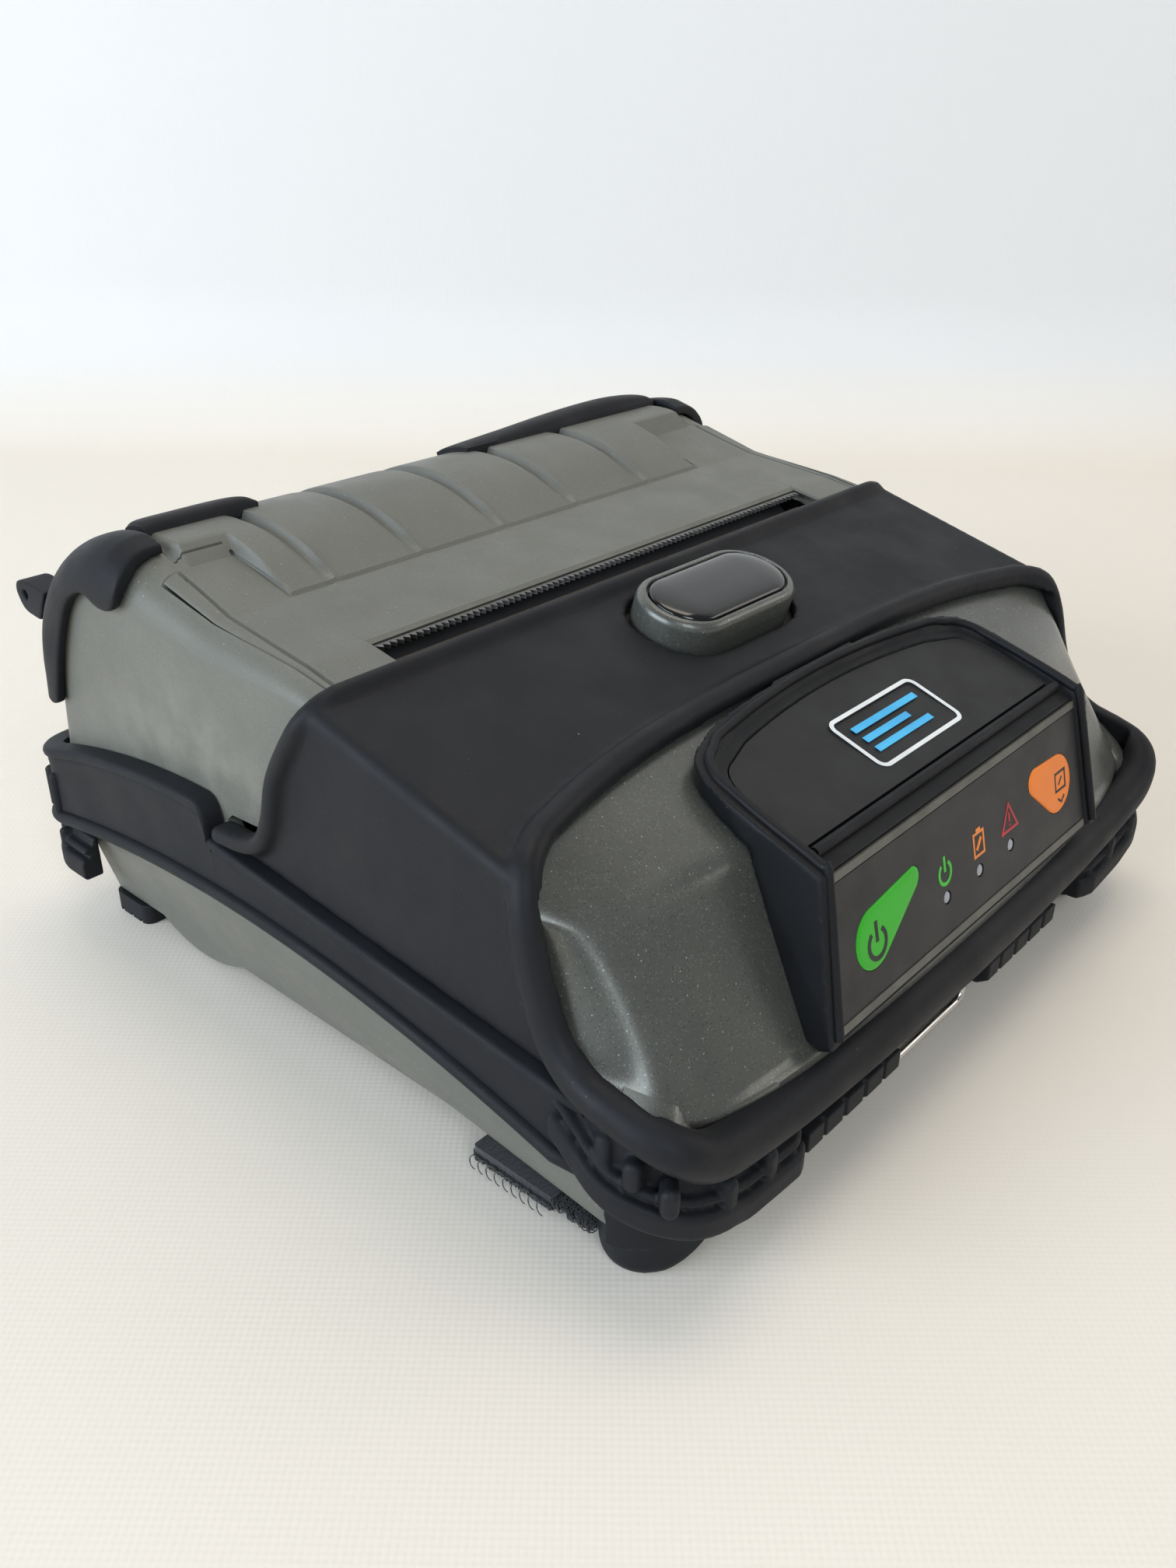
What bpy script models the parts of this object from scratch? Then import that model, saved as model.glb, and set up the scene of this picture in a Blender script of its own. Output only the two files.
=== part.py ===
"""Rugged vehicle-mount thermal label printer for four-inch media, as separate parts in metres.

Sizes below are in millimetres; MM turns them into metres when a mesh is made. +X is to the
right as seen from the control panel, +Y runs to the rear, +Z is up, and the origin lies on the
table under the middle of the case.
"""

import math

import bmesh
import bpy
from mathutils import Matrix, Vector

MM = 0.001
GAP = 0.3  # clearance between neighbouring pieces
WALL = 2.2  # case wall thickness

# Case
SIDE_X = 75.0  # outer face of the grey side walls
BAND_X = 77.2  # outer face of the rubber band that wraps the case
SKIRT_X = 78.4  # outer face of the lower rubber skirt
FRONT_Y = -69.0  # front wall of the lower housing
REAR_Y = 75.0  # rear wall of the case
BASE_Z = 4.5  # underside of the lower housing
SEAM_Z = 36.0  # joint between lower and upper housing at the rear
BAND_SLOPE = 0.263  # rise of the band's top plane towards the rear
BAND_REF = (-7.3, 70.0)  # a point (y, z) on the band's top plane
BULGE_Y, BULGE_Z, BULGE_R = 44.0, 51.0, 29.0  # media door's rounded back

# Mechanism
ROLL_Y, ROLL_Z, ROLL_R = 40.5, 41.5, 26.0
MEDIA_HALF = 56.0  # half the width of the media
PLATEN_Y, PLATEN_Z, PLATEN_R = 7.0, 62.0, 5.5
HINGE_Y, HINGE_Z = 70.2, 45.0
DOOR_WIDE, DOOR_NARROW = 71.0, 66.3  # half widths of the media door before and behind its seam
SEAM_R = 46.7  # that seam is an arc about the hinge, so that the door swings clear
GEAR_X = 65.2  # inner face of the gear train
GEAR_MODULE = 0.5
PLATEN_TEETH, IDLER_TEETH, PINION_TEETH = 24, 30, 14
RACK_RADIUS = 4.0  # pitch radius of the guide pinion
BUTTON_Y = -20.0
LATCH_Y, LATCH_Z = -10.0, 57.0
BAIL_X, BAIL_Y, BAIL_Z = -5.0, -72.3, 10.4  # pivot of the wire bail

# Control panel plane, from its lower edge to its upper edge
PANEL_FOOT = Vector((0.0, -76.0, 28.0))
PANEL_TILT = math.radians(14.0)


# --- mesh helpers -------------------------------------------------------------------------


def material(name, colour, roughness, metallic=0.0):
    """A Principled material, made once for each name."""
    found = bpy.data.materials.get(name)
    if found:
        return found
    made = bpy.data.materials.new(name)
    made.use_nodes = True
    shader = made.node_tree.nodes["Principled BSDF"]
    shader.inputs["Base Color"].default_value = (*colour, 1.0)
    shader.inputs["Roughness"].default_value = roughness
    shader.inputs["Metallic"].default_value = metallic
    made.diffuse_color = (*colour, 1.0)
    return made


def solid(name, points, faces, finish, smooth=0.0):
    """One object from points in millimetres, with its faces turned outwards."""
    mesh = bpy.data.meshes.new(name)
    mesh.from_pydata([Vector(p) * MM for p in points], [], faces)
    work = bmesh.new()
    work.from_mesh(mesh)
    bmesh.ops.recalc_face_normals(work, faces=work.faces)
    work.to_mesh(mesh)
    work.free()
    if smooth:
        mesh.shade_smooth()
        mesh.set_sharp_from_angle(angle=math.radians(smooth))
    mesh.materials.append(finish)
    made = bpy.data.objects.new(name, mesh)
    bpy.context.scene.collection.objects.link(made)
    return made


def loft(name, rings, finish, closed=False, smooth=0.0):
    """A skin over rings of equal length, capped at both ends unless it closes on itself."""
    size = len(rings[0])
    points = [p for ring in rings for p in ring]
    faces = []
    last = len(rings) if closed else len(rings) - 1
    for row in range(last):
        here = row * size
        there = ((row + 1) % len(rings)) * size
        for i in range(size):
            j = (i + 1) % size
            faces.append((here + i, here + j, there + j, there + i))
    if not closed:
        faces.append(tuple(range(size)))
        faces.append(tuple(range(len(points) - size, len(points))))
    return solid(name, points, faces, finish, smooth)


def prism(name, axis, outline, low, high, finish, smooth=0.0):
    """An outline pushed along X, Y or Z: its pairs are (y, z), (x, z) or (x, y)."""
    place = {
        "X": lambda u, v, w: (w, u, v),
        "Y": lambda u, v, w: (u, w, v),
        "Z": lambda u, v, w: (u, v, w),
    }[axis]
    return loft(name, [[place(u, v, w) for u, v in outline] for w in (low, high)], finish, smooth=smooth)


def box(name, low, high, finish, bevel=0.0):
    """A block between two corners, with an optional small bevel."""
    outline = [(low[0], low[1]), (high[0], low[1]), (high[0], high[1]), (low[0], high[1])]
    made = prism(name, "Z", outline, low[2], high[2], finish)
    if bevel:
        soften(made, bevel)
    return made


def soften(made, width, segments=1, angle=35):
    """A bevel on the sharp edges."""
    mod = made.modifiers.new("soften", "BEVEL")
    mod.width = width * MM
    mod.segments = segments
    mod.limit_method = "ANGLE"
    mod.angle_limit = math.radians(angle)


def circle(u, v, radius, sides, start=0.0):
    """Corners of a regular outline about (u, v)."""
    turn = 2 * math.pi / sides
    return [
        (u + radius * math.cos(start + i * turn), v + radius * math.sin(start + i * turn))
        for i in range(sides)
    ]


def rod(name, axis, u, v, radius, low, high, finish, sides=20):
    """A round bar along an axis."""
    return prism(name, axis, circle(u, v, radius, sides), low, high, finish, smooth=40)


def rounded(half_u, half_v, radius, steps=4, centre=(0.0, 0.0)):
    """A rectangle with round corners, counter-clockwise."""
    outline = []
    for turn, (su, sv) in enumerate(((1, 1), (-1, 1), (-1, -1), (1, -1))):
        for i in range(steps + 1):
            angle = math.pi / 2 * (turn + i / steps)
            outline.append(
                (
                    centre[0] + su * (half_u - radius) + radius * math.cos(angle),
                    centre[1] + sv * (half_v - radius) + radius * math.sin(angle),
                )
            )
    return outline


def tube(name, path, radii, sides, finish, closed=False):
    """A round section swept along a path, with a radius at each point."""
    path = [Vector(p) for p in path]
    count = len(path)
    rings = []
    side = Vector((0.0, 0.0, 1.0))
    for i, here in enumerate(path):
        before = path[(i - 1) % count] if closed or i else here
        after = path[(i + 1) % count] if closed or i < count - 1 else here
        along = (after - before).normalized()
        side = side - along * side.dot(along)
        if side.length < 1e-3:
            side = along.orthogonal()
        side.normalize()
        other = along.cross(side)
        rings.append(
            [here + (side * u + other * v) * radii[i] for u, v in circle(0, 0, 1.0, sides)]
        )
    return loft(name, rings, finish, closed=closed, smooth=50)


def boolean(made, other, operation):
    """Adds a Boolean and hides the helper that it uses."""
    mod = made.modifiers.new(operation.lower(), "BOOLEAN")
    mod.operation = operation
    mod.object = other
    other.hide_render = True
    other.display_type = "WIRE"
    return made


def cut(made, *tools):
    """Takes helper solids away."""
    for tool in tools:
        boolean(made, tool, "DIFFERENCE")
    return made


def fuse(made, *others):
    """Joins helper solids on, so that the piece stays one body."""
    for other in others:
        boolean(made, other, "UNION")
    return made


def keep(made, region):
    """Keeps only what lies inside a helper solid."""
    return boolean(made, region, "INTERSECT")


def set_origin(made, point):
    """Moves an object's origin to a point in millimetres without moving its surface."""
    offset = Vector(point) * MM
    made.data.transform(Matrix.Translation(-offset))
    made.location = offset
    return made


def widen(outline, amount):
    """An outline pushed out by an amount, with mitred corners."""
    area = sum(
        a[0] * b[1] - b[0] * a[1] for a, b in zip(outline, outline[1:] + outline[:1])
    )
    turn = 1.0 if area > 0 else -1.0
    grown = []
    for i, here in enumerate(outline):
        before = Vector(here) - Vector(outline[i - 1])
        after = Vector(outline[(i + 1) % len(outline)]) - Vector(here)
        first = Vector((before.y, -before.x)).normalized() * turn
        second = Vector((after.y, -after.x)).normalized() * turn
        middle = (first + second).normalized()
        grown.append(tuple(Vector(here) + middle * amount / max(0.4, middle.dot(first))))
    return grown


# --- finishes -----------------------------------------------------------------------------

GREY = material("grey_painted_plastic", (0.105, 0.108, 0.098), 0.5, 0.25)
BEZEL_GREY = material("grey_metallic_plastic", (0.11, 0.113, 0.105), 0.38, 0.45)
RUBBER = material("black_rubber", (0.012, 0.013, 0.017), 0.62)
BLACK = material("black_plastic", (0.014, 0.014, 0.016), 0.45)
GLOSS = material("gloss_black_dome", (0.004, 0.004, 0.006), 0.08)
OVERLAY = material("panel_overlay", (0.016, 0.016, 0.018), 0.55)
GREEN = material("green_key", (0.02, 0.42, 0.03), 0.4)
ORANGE = material("orange_key", (0.85, 0.2, 0.03), 0.4)
CLEAR = material("led_window", (0.55, 0.55, 0.56), 0.25)
STEEL = material("steel", (0.55, 0.55, 0.56), 0.3, 1.0)
ALUMINIUM = material("aluminium", (0.62, 0.63, 0.65), 0.35, 1.0)
CERAMIC = material("print_head_ceramic", (0.72, 0.7, 0.62), 0.3)
BOARD = material("circuit_board", (0.02, 0.16, 0.06), 0.45)
PAPER = material("label_stock", (0.86, 0.86, 0.84), 0.7)
CARD = material("card_core", (0.45, 0.33, 0.2), 0.85)
WHITE_GEAR = material("acetal_gear", (0.8, 0.79, 0.74), 0.4)
CELL = material("battery_wrap", (0.03, 0.07, 0.16), 0.4)
FABRIC = material("hook_and_loop", (0.01, 0.011, 0.014), 0.95)
HELPER = material("helper", (0.5, 0.1, 0.1), 0.5)


# --- shared outer forms -------------------------------------------------------------------


def band_top(y):
    """Height of the rubber band's top plane."""
    return BAND_REF[1] + BAND_SLOPE * (y - BAND_REF[0])


def arch_y(x):
    """Front edge of the band's top: an arch that is deepest at the sides."""
    return -37.5 - 9.0 * (abs(x) / 76.5) ** 3.3


def seam_line(y):
    """Height of the slit between band and skirt along the sides."""
    return 31.5 + 0.099 * (y + 58.0)


def skirt_low(y):
    """Lower edge of the skirt, arched along the sides."""
    return 27.5 - 0.0018 * (y - 16.0) ** 2


def skirt_high(y):
    """Upper edge of the skirt: under the slit, then stepped up behind the band."""
    if y < 20.0:
        return seam_line(y) - GAP
    return 45.0 - 0.0031 * (y - 22.0) ** 2


def roof(front, floor, steps=7):
    """The case's side outline as (y, z, outward y, outward z), from front floor to rear floor."""
    points = [(front, floor, 0.0, 0.0), (front, 70.0 + 0.18 * (front + 5.0), 0.0, 1.0)]
    for y, z in ((2.0, 71.2), (21.8, 73.2), (36.5, 76.9)):
        if y > front:
            points.append((y, z, -0.1, 1.0))
    for i in range(steps):
        angle = math.radians(88 - i * 86 / (steps - 1))
        c, s = math.cos(angle), math.sin(angle)
        points.append((BULGE_Y + BULGE_R * c, BULGE_Z + BULGE_R * s - 0.6 * s, c, s))
    points.append((REAR_Y, floor, 1.0, 0.0))
    return points


def band_roof(front, rear, floor):
    """The band's side outline in the same form."""
    points = [(front, floor, 0.0, 0.0)]
    for y in (front, -40.0, -20.0, rear):
        points.append((y, band_top(y), 0.0, 1.0))
    points.append((rear, floor, 0.0, 0.0))
    return points


def pillow(name, outline, grow, half, shoulder, finish=HELPER, steps=3):
    """A side outline carried across the case, with its upper edges rounded into the side walls."""
    rings = []
    for side in (-1, 1):
        turns = range(steps + 1) if side > 0 else range(steps, -1, -1)
        for k in turns:
            angle = math.pi / 2 * k / steps
            ring = []
            for y, z, ny, nz in outline:
                radius = shoulder(y) if (ny or nz) else 0.0
                inset = grow - radius * (1 - math.cos(angle))
                reach = half - radius + radius * math.sin(angle) if k < steps else half
                ring.append((side * reach, y + ny * inset, z + nz * inset))
            rings.append(ring)
    return loft(name, rings, finish, smooth=40)


def case_shoulder(y):
    """Edge radius of the grey case: tight by the band, generous at the rear."""
    return 3.2 + 5.0 * min(1.0, max(0.0, (y + 5.0) / 50.0))


def band_side_region():
    """What the band covers, seen from the side."""
    return [
        (-60.5, 31.2),
        (17.5, seam_line(17.5) + GAP),
        (18.6, 41.0),
        (17.5, 42.0),
        (11.0, 42.4),
        (6.6, 44.6),
        (3.8, 49.0),
        (1.6, 56.6),
        (-3.0, 63.5),
        (-5.9, 68.5),
        (-5.9, 80.0),
        (-47.5, 80.0),
        (-47.8, 58.0),
        (-49.2, 51.0),
        (-51.8, 43.0),
        (-55.5, 35.5),
    ]


def bezel_stations(outward):
    """(x, arch point, crease, foot, lowest height) across the front bezel, moved by outward."""
    stations = []
    for x, crease, foot, low in (
        (0.0, (-60.6, 53.0), (-73.4, 22.2), 18.0),
        (30.0, (-60.0, 52.8), (-73.1, 22.2), 18.0),
        (48.0, (-58.4, 52.3), (-72.4, 22.4), 18.0),
        (60.0, (-56.2, 51.7), (-71.8, 23.6), 19.0),
        (68.5, (-54.0, 51.0), (-70.8, 26.8), 25.4),
        (72.6, (-51.8, 51.5), (-68.6, 29.4), 28.0),
        (74.8, (-50.2, 51.6), (-64.0, 31.2), 28.2),
    ):
        arch = (arch_y(x) + 0.6, band_top(arch_y(x)) - 1.0 - 0.9 * max(0.0, x - 68.5) / 7.0)
        lean = 0.92 * outward
        stations.append(
            (
                x + (outward if x > 74.0 else 0.0),
                (arch[0], arch[1] + outward),
                (crease[0] - 0.45 * outward, crease[1] + 0.75 * outward),
                (foot[0] - lean, foot[1]),
                low,
            )
        )
    return stations


def bezel_form(name, outward, back, floor, finish=HELPER):
    """The bezel's closed outer volume, grown by outward and reaching back past the arch."""
    half = bezel_stations(outward)
    rings = []
    mirrored = [(-x, a, c, f, low) for x, a, c, f, low in reversed(half[1:])]
    for x, arch, crease, foot, low in mirrored + half:
        base = min(floor, low) if floor < 17.0 else low - (18.0 - floor)
        rings.append(
            [
                (x, *arch),
                (x, *crease),
                (x, *foot),
                (x, foot[0] + 0.9, base),
                (x, arch[0] + back, base),
                (x, arch[0] + back, arch[1]),
            ]
        )
    return loft(name, rings, finish, smooth=30)


# --- lower housing and its rubber -----------------------------------------------------------


def plan_outline(half_x, front, rear, corner_front, corner_rear, steps=5):
    """Stations (x, y, outward x, outward y) round the case, finely spaced along the sides."""
    stations = []

    def corner(cx, cy, radius, start):
        for i in range(steps + 1):
            angle = math.radians(start + 90 * i / steps)
            c, s = math.cos(angle), math.sin(angle)
            stations.append((cx + radius * c, cy + radius * s, c, s))

    ys = [-48, -34, -20, -6, 8, 19.4, 20.4, 30, 42, 54, 64]
    corner(half_x - corner_rear, rear - corner_rear, corner_rear, 0)
    corner(-half_x + corner_rear, rear - corner_rear, corner_rear, 90)
    stations.extend((-half_x, y, -1.0, 0.0) for y in reversed(ys))
    corner(-half_x + corner_front, front + corner_front, corner_front, 180)
    corner(half_x - corner_front, front + corner_front, corner_front, 270)
    stations.extend((half_x, y, 1.0, 0.0) for y in ys)
    return stations


def crease_z(y):
    """Height where the lower housing's wall breaks inwards to its base."""
    return 12.8 + 0.1 * y


CHAMFER = 5.0  # how far the lower housing's base lies inside its walls
TUB_DRAFT = 1.0  # how far its crease lies inside them
SKIRT_FRONT_Y = -55.4  # front ends of the skirt


def tub_form(name, inset, floor, top, finish=HELPER):
    """The lower housing's closed volume: walls, a slanted lower edge and a flat base."""
    rings = []
    stations = plan_outline(SIDE_X - inset, FRONT_Y + inset, REAR_Y - inset, 9.0, 6.0)
    rings.append([(x - CHAMFER * ox, y - CHAMFER * oy, floor) for x, y, ox, oy in stations])
    ring = []
    for x, y, ox, oy in stations:
        crease = max(floor + 1.0, crease_z(y) + inset * 0.4)
        ring.append((x - TUB_DRAFT * ox, y - TUB_DRAFT * oy, crease))
    rings.append(ring)
    for height in (30.0, top):
        rings.append([(x, y, height) for x, y, _, _ in stations])
    return loft(name, rings, finish, smooth=30)


def build_bottom_housing():
    made = tub_form("bottom_housing", 0.0, BASE_Z, SEAM_Z - GAP, GREY)
    fuse(made, rod("tub_bulge", "X", 41.5, 29.5, 28.0, -70.0, 70.0, HELPER, 40))
    cut(
        made,
        tub_form("tub_inside", 2.4, BASE_Z + WALL, 60.0),
        rod("tub_bulge_inside", "X", 41.5, 29.5, 25.8, -67.8, 67.8, HELPER, 40),
        box("tub_top_trim", (-90, -90, SEAM_Z - GAP), (90, 90, 80), HELPER),
        box("tub_front_room", (-90, -90, 17.7), (90, -44.0, 90), HELPER),
        prism("tub_band_room", "X", widen(band_side_region(), 0.2), -90, 90, HELPER),
        box("tub_port_room", (70, -33, 25.6), (80, -7, 33.0), HELPER),
    )
    return made


def build_bottom_skirt():
    rings = []
    around = plan_outline(SIDE_X + GAP, FRONT_Y - GAP, REAR_Y + GAP, 9.3, 6.3)
    left = [s for s in around if s[0] < 0 and s[1] > -55.0]
    right = [s for s in around if s[0] >= 0 and s[1] > -55.0]
    right.sort(key=lambda s: (s[1] > 65.0, s[1] if s[1] <= 65.0 else s[1] - s[0]))
    left.sort(key=lambda s: (s[1] > 65.0, s[1] if s[1] <= 65.0 else s[1] + s[0]))
    first = (SIDE_X + GAP, SKIRT_FRONT_Y, 1.0, 0.0)
    last = (-SIDE_X - GAP, SKIRT_FRONT_Y, -1.0, 0.0)
    for x, y, ox, oy in [first] + right + left[::-1] + [last]:
        low = skirt_low(y)
        high = skirt_high(y)
        thick = SKIRT_X - SIDE_X - GAP
        bead = thick + 1.3
        profile = (
            (0.0, low),
            (bead - 0.4, low),
            (bead, low + 0.6),
            (bead, low + 1.4),
            (thick, low + 2.4),
            (thick, high - 2.2),
            (bead - 0.5, high - 1.4),
            (bead - 0.5, high - 0.5),
            (thick - 0.3, high),
            (0.0, high),
        )
        rings.append([(x + ox * d, y + oy * d, z) for d, z in profile])
    made = loft("bottom_skirt", rings, RUBBER, smooth=45)
    cut(made, box("skirt_port_room", (70, -33, 20.0), (90, -7, 33.0), HELPER))
    return made


def blend(share, values):
    """A value at a share of the way along evenly spaced values."""
    place = share * (len(values) - 1)
    start = min(int(place), len(values) - 2)
    return values[start] + (values[start + 1] - values[start]) * (place - start)


def build_corner_guards():
    """Rubber guards that wrap the four lower corners, with a lip below a shallow channel."""
    for end, sy in (("front", -1), ("rear", 1)):
        radius = 9.3 if sy < 0 else 6.3
        inner_x, inner_y = SIDE_X + GAP, (-FRONT_Y if sy < 0 else REAR_Y) + GAP
        along_side, along_end = (4.0, 19.0) if sy < 0 else (5.0, 8.0)
        lows = (22.0, 18.4, 17.6, 15.0, 12.6, 9.6) if sy < 0 else (12.0, 12.0)
        highs = (27.6, 27.2, 25.0, 19.4, 17.0, 15.0) if sy < 0 else (20.2, 20.2)
        thick = 4.9 if sy < 0 else 4.0
        stations = [(inner_x, inner_y - radius - along_side, 1.0, 0.0)]
        for i in range(6):
            angle = math.radians(18 * i)
            c, s = math.cos(angle), math.sin(angle)
            stations.append((inner_x - radius + radius * c, inner_y - radius + radius * s, c, s))
        stations.append((inner_x - radius - along_end, inner_y, 0.0, 1.0))
        for hand, sx in (("left", -1), ("right", 1)):
            rings = []
            for i, (x, y, ox, oy) in enumerate(stations):
                share = i / (len(stations) - 1)
                low, high = blend(share, lows), blend(share, highs)
                profile = (
                    (0.0, low),
                    (thick, low),
                    (thick, low + 2.2),
                    (thick - 1.2, low + 3.0),
                    (thick - 1.2, high - 0.8),
                    (thick - 2.0, high),
                    (0.0, high),
                )
                rings.append([(sx * (x + ox * d), sy * (y + oy * d), z) for d, z in profile])
            loft(f"corner_guard_{end}_{hand}", rings, RUBBER, smooth=45)


def build_feet():
    for hand, sx in (("left", -1), ("right", 1)):
        front = rounded(9.0, 9.6, 7.0, 4, (sx * 65.5, -60.5))
        made = prism(f"foot_front_{hand}", "Z", front, 0.0, BASE_Z - GAP, RUBBER, 40)
        soften(made, 0.5)
        rear = rounded(4.5, 5.5, 2.0, 2, (sx * 66.5, 64.5))
        made = prism(f"foot_rear_{hand}", "Z", rear, 0.0, BASE_Z - GAP, RUBBER, 40)
        soften(made, 0.5)


# --- upper housing, band, bezel -------------------------------------------------------------


def door_room(name, spare):
    """What the media door covers: wide in front of an arc about the hinge, narrow behind it."""
    floor = HINGE_Z - 3.6 if spare else HINGE_Z
    made = box(name, (-DOOR_WIDE - spare, -20, floor), (DOOR_WIDE + spare, 60, 100), HELPER)
    for sx in (-1, 1):
        low, high = sorted((sx * (DOOR_NARROW - 5.0), sx * 90.0))
        swing = rod(f"{name}_swing{sx}", "X", HINGE_Y, HINGE_Z, SEAM_R - spare, low, high, HELPER, 96)
        cut(made, swing)
    rear = box(
        f"{name}_rear",
        (-DOOR_NARROW - spare, 0, floor),
        (DOOR_NARROW + spare, 99, 101),
        HELPER,
    )
    return fuse(made, rear)


def build_top_housing():
    made = pillow("top_housing", roof(-14.0, SEAM_Z), 0.0, SIDE_X, case_shoulder, GREY)
    inside = pillow("top_inside", roof(-30.0, 20.0), -WALL, SIDE_X - WALL, case_shoulder)
    band = prism("top_band_room", "X", widen(band_side_region(), 0.5), -90, 90, HELPER)
    front = box("top_front_trim", (-90, -60, 0), (90, -5.4, 100), HELPER)
    cut(made, inside, band, front, door_room("top_door_room", GAP))
    for sx in (-1, 1):
        low, high = sorted((sx * 63.4, sx * 66.4))
        lug = prism(
            f"hinge_lug{sx}",
            "X",
            [(REAR_Y - 1.0, 37.0), (REAR_Y - 1.0, HINGE_Z)]
            + [
                (HINGE_Y + 3.0 * math.cos(a), HINGE_Z + 3.0 * math.sin(a))
                for a in (math.radians(30 + 30 * i) for i in range(7))
            ]
            + [(HINGE_Y - 3.0, 37.0)],
            low,
            high,
            HELPER,
        )
        fuse(made, lug)
    cut(made, rod("hinge_bore", "X", HINGE_Y, HINGE_Z, 1.9, -70, 70, HELPER, 16))
    return made


def ring_path():
    """The bumper rib: over the arch, down both sides and round the front foot of the bezel."""
    top = [(x, arch_y(x), band_top(arch_y(x)) + 0.1, 1.8) for x in (0, 18, 34, 48, 60, 69)]
    side = [
        (74.6, -46.2, 58.2, 2.0),
        (76.4, -48.4, 53.0, 2.3),
        (76.6, -51.0, 44.0, 2.6),
        (76.6, -54.4, 36.6, 2.8),
        (76.8, -59.5, 32.6, 2.9),
        (76.6, -65.5, 31.0, 3.0),
        (75.8, -70.4, 29.6, 3.1),
        (73.4, -73.2, 27.4, 3.3),
        (68.6, -74.0, 24.2, 3.6),
        (60.0, -73.8, 22.0, 3.8),
        (44.0, -73.4, 20.0, 4.2),
        (22.0, -73.0, 19.2, 4.8),
    ]
    right = top + side
    middle = [(0.0, -72.9, 19.0, 5.0)]
    left = [(-x, y, z, r) for x, y, z, r in reversed(right[1:])]
    return right + middle + left


def build_top_overmold():
    made = pillow(
        "top_overmold", band_roof(-62.0, 20.0, 24.0), 0.0, BAND_X, lambda y: 2.6, RUBBER
    )
    keep(made, prism("band_region", "X", band_side_region(), -90, 90, HELPER))
    arch = [(x, arch_y(x)) for x in (-90, -76.5, -68, -58, -46, -32, -16, 0)]
    arch += [(-x, y) for x, y in reversed(arch[:-1])]
    arch_room = prism("arch_room", "Z", [(-90, -90)] + arch + [(90, -90)], 55.0, 90.0, HELPER)
    path = ring_path()
    ring = tube("bumper_ring", [p[:3] for p in path], [p[3] for p in path], 12, HELPER, True)
    right = [
        (0.0, -7.3, 70.1),
        (40.0, -7.3, 70.1),
        (72.6, -7.3, 70.0),
        (76.0, -6.6, 68.6),
        (77.6, -4.6, 65.0),
        (77.9, 0.4, 56.6),
        (78.0, 2.7, 49.0),
        (78.0, 5.6, 43.8),
        (78.0, 10.2, 41.4),
        (78.0, 17.2, 41.0),
    ]
    path = [(-x, y, z) for x, y, z in reversed(right[1:])] + right
    rear_rib = tube("rear_rib", path, [1.6] * len(path), 10, HELPER)
    hollow = pillow("band_inside", band_roof(-70.0, 30.0, 10.0), -WALL, SIDE_X + GAP, lambda y: 1.6)
    button = rounded(18.0, 9.4, 9.3, 5, (0.0, BUTTON_Y))
    cut(made, arch_room)
    fuse(made, ring, rear_rib)
    cut(
        made,
        hollow,
        bezel_form("band_bezel_room", GAP, 8.0, 17.6),
        box("band_lower_room", (-74.0, FRONT_Y - 0.4, 0), (74.0, 60, 19.0), HELPER),
        prism("button_room", "Z", button, 50, 90, HELPER),
    )
    return made


def build_front_bezel():
    made = bezel_form("front_bezel", 0.0, 0.2, 18.0, BEZEL_GREY)
    inner = bezel_form("bezel_inside", -WALL, 20.0, 5.0)
    window = panel_object("bezel_window", [(-39, 1.5), (39, 1.5), (39, 21), (-39, 21)], -14, 2, HELPER)
    cut(made, inner, window)
    return made


# --- control pod ---------------------------------------------------------------------------


def pod_scale(z):
    """Half-width of the pod against height: it widens downwards."""
    return 41.4 + (62.0 - z) * 0.0957


def pod_prism(name, outline, inset, finish=HELPER, steps=8):
    """A side outline carried across the pod, following its taper and its arched back edge."""
    rings = []
    for i in range(steps + 1):
        share = -1 + 2 * i / steps
        ring = []
        for y, z, arched in outline:
            x = share * (pod_scale(z) - inset)
            ring.append((x, y + arched * 4.2 * (1 - share * share), z + arched * 1.1 * (1 - share * share)))
        rings.append(ring)
    return loft(name, rings, finish, smooth=30)


def panel_point(up, out):
    """(y, z) of a point on the control panel: up from its foot, and out of its face."""
    c, s = math.cos(PANEL_TILT), math.sin(PANEL_TILT)
    return (PANEL_FOOT.y + up * s - out * c, PANEL_FOOT.z + up * c + out * s)


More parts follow.
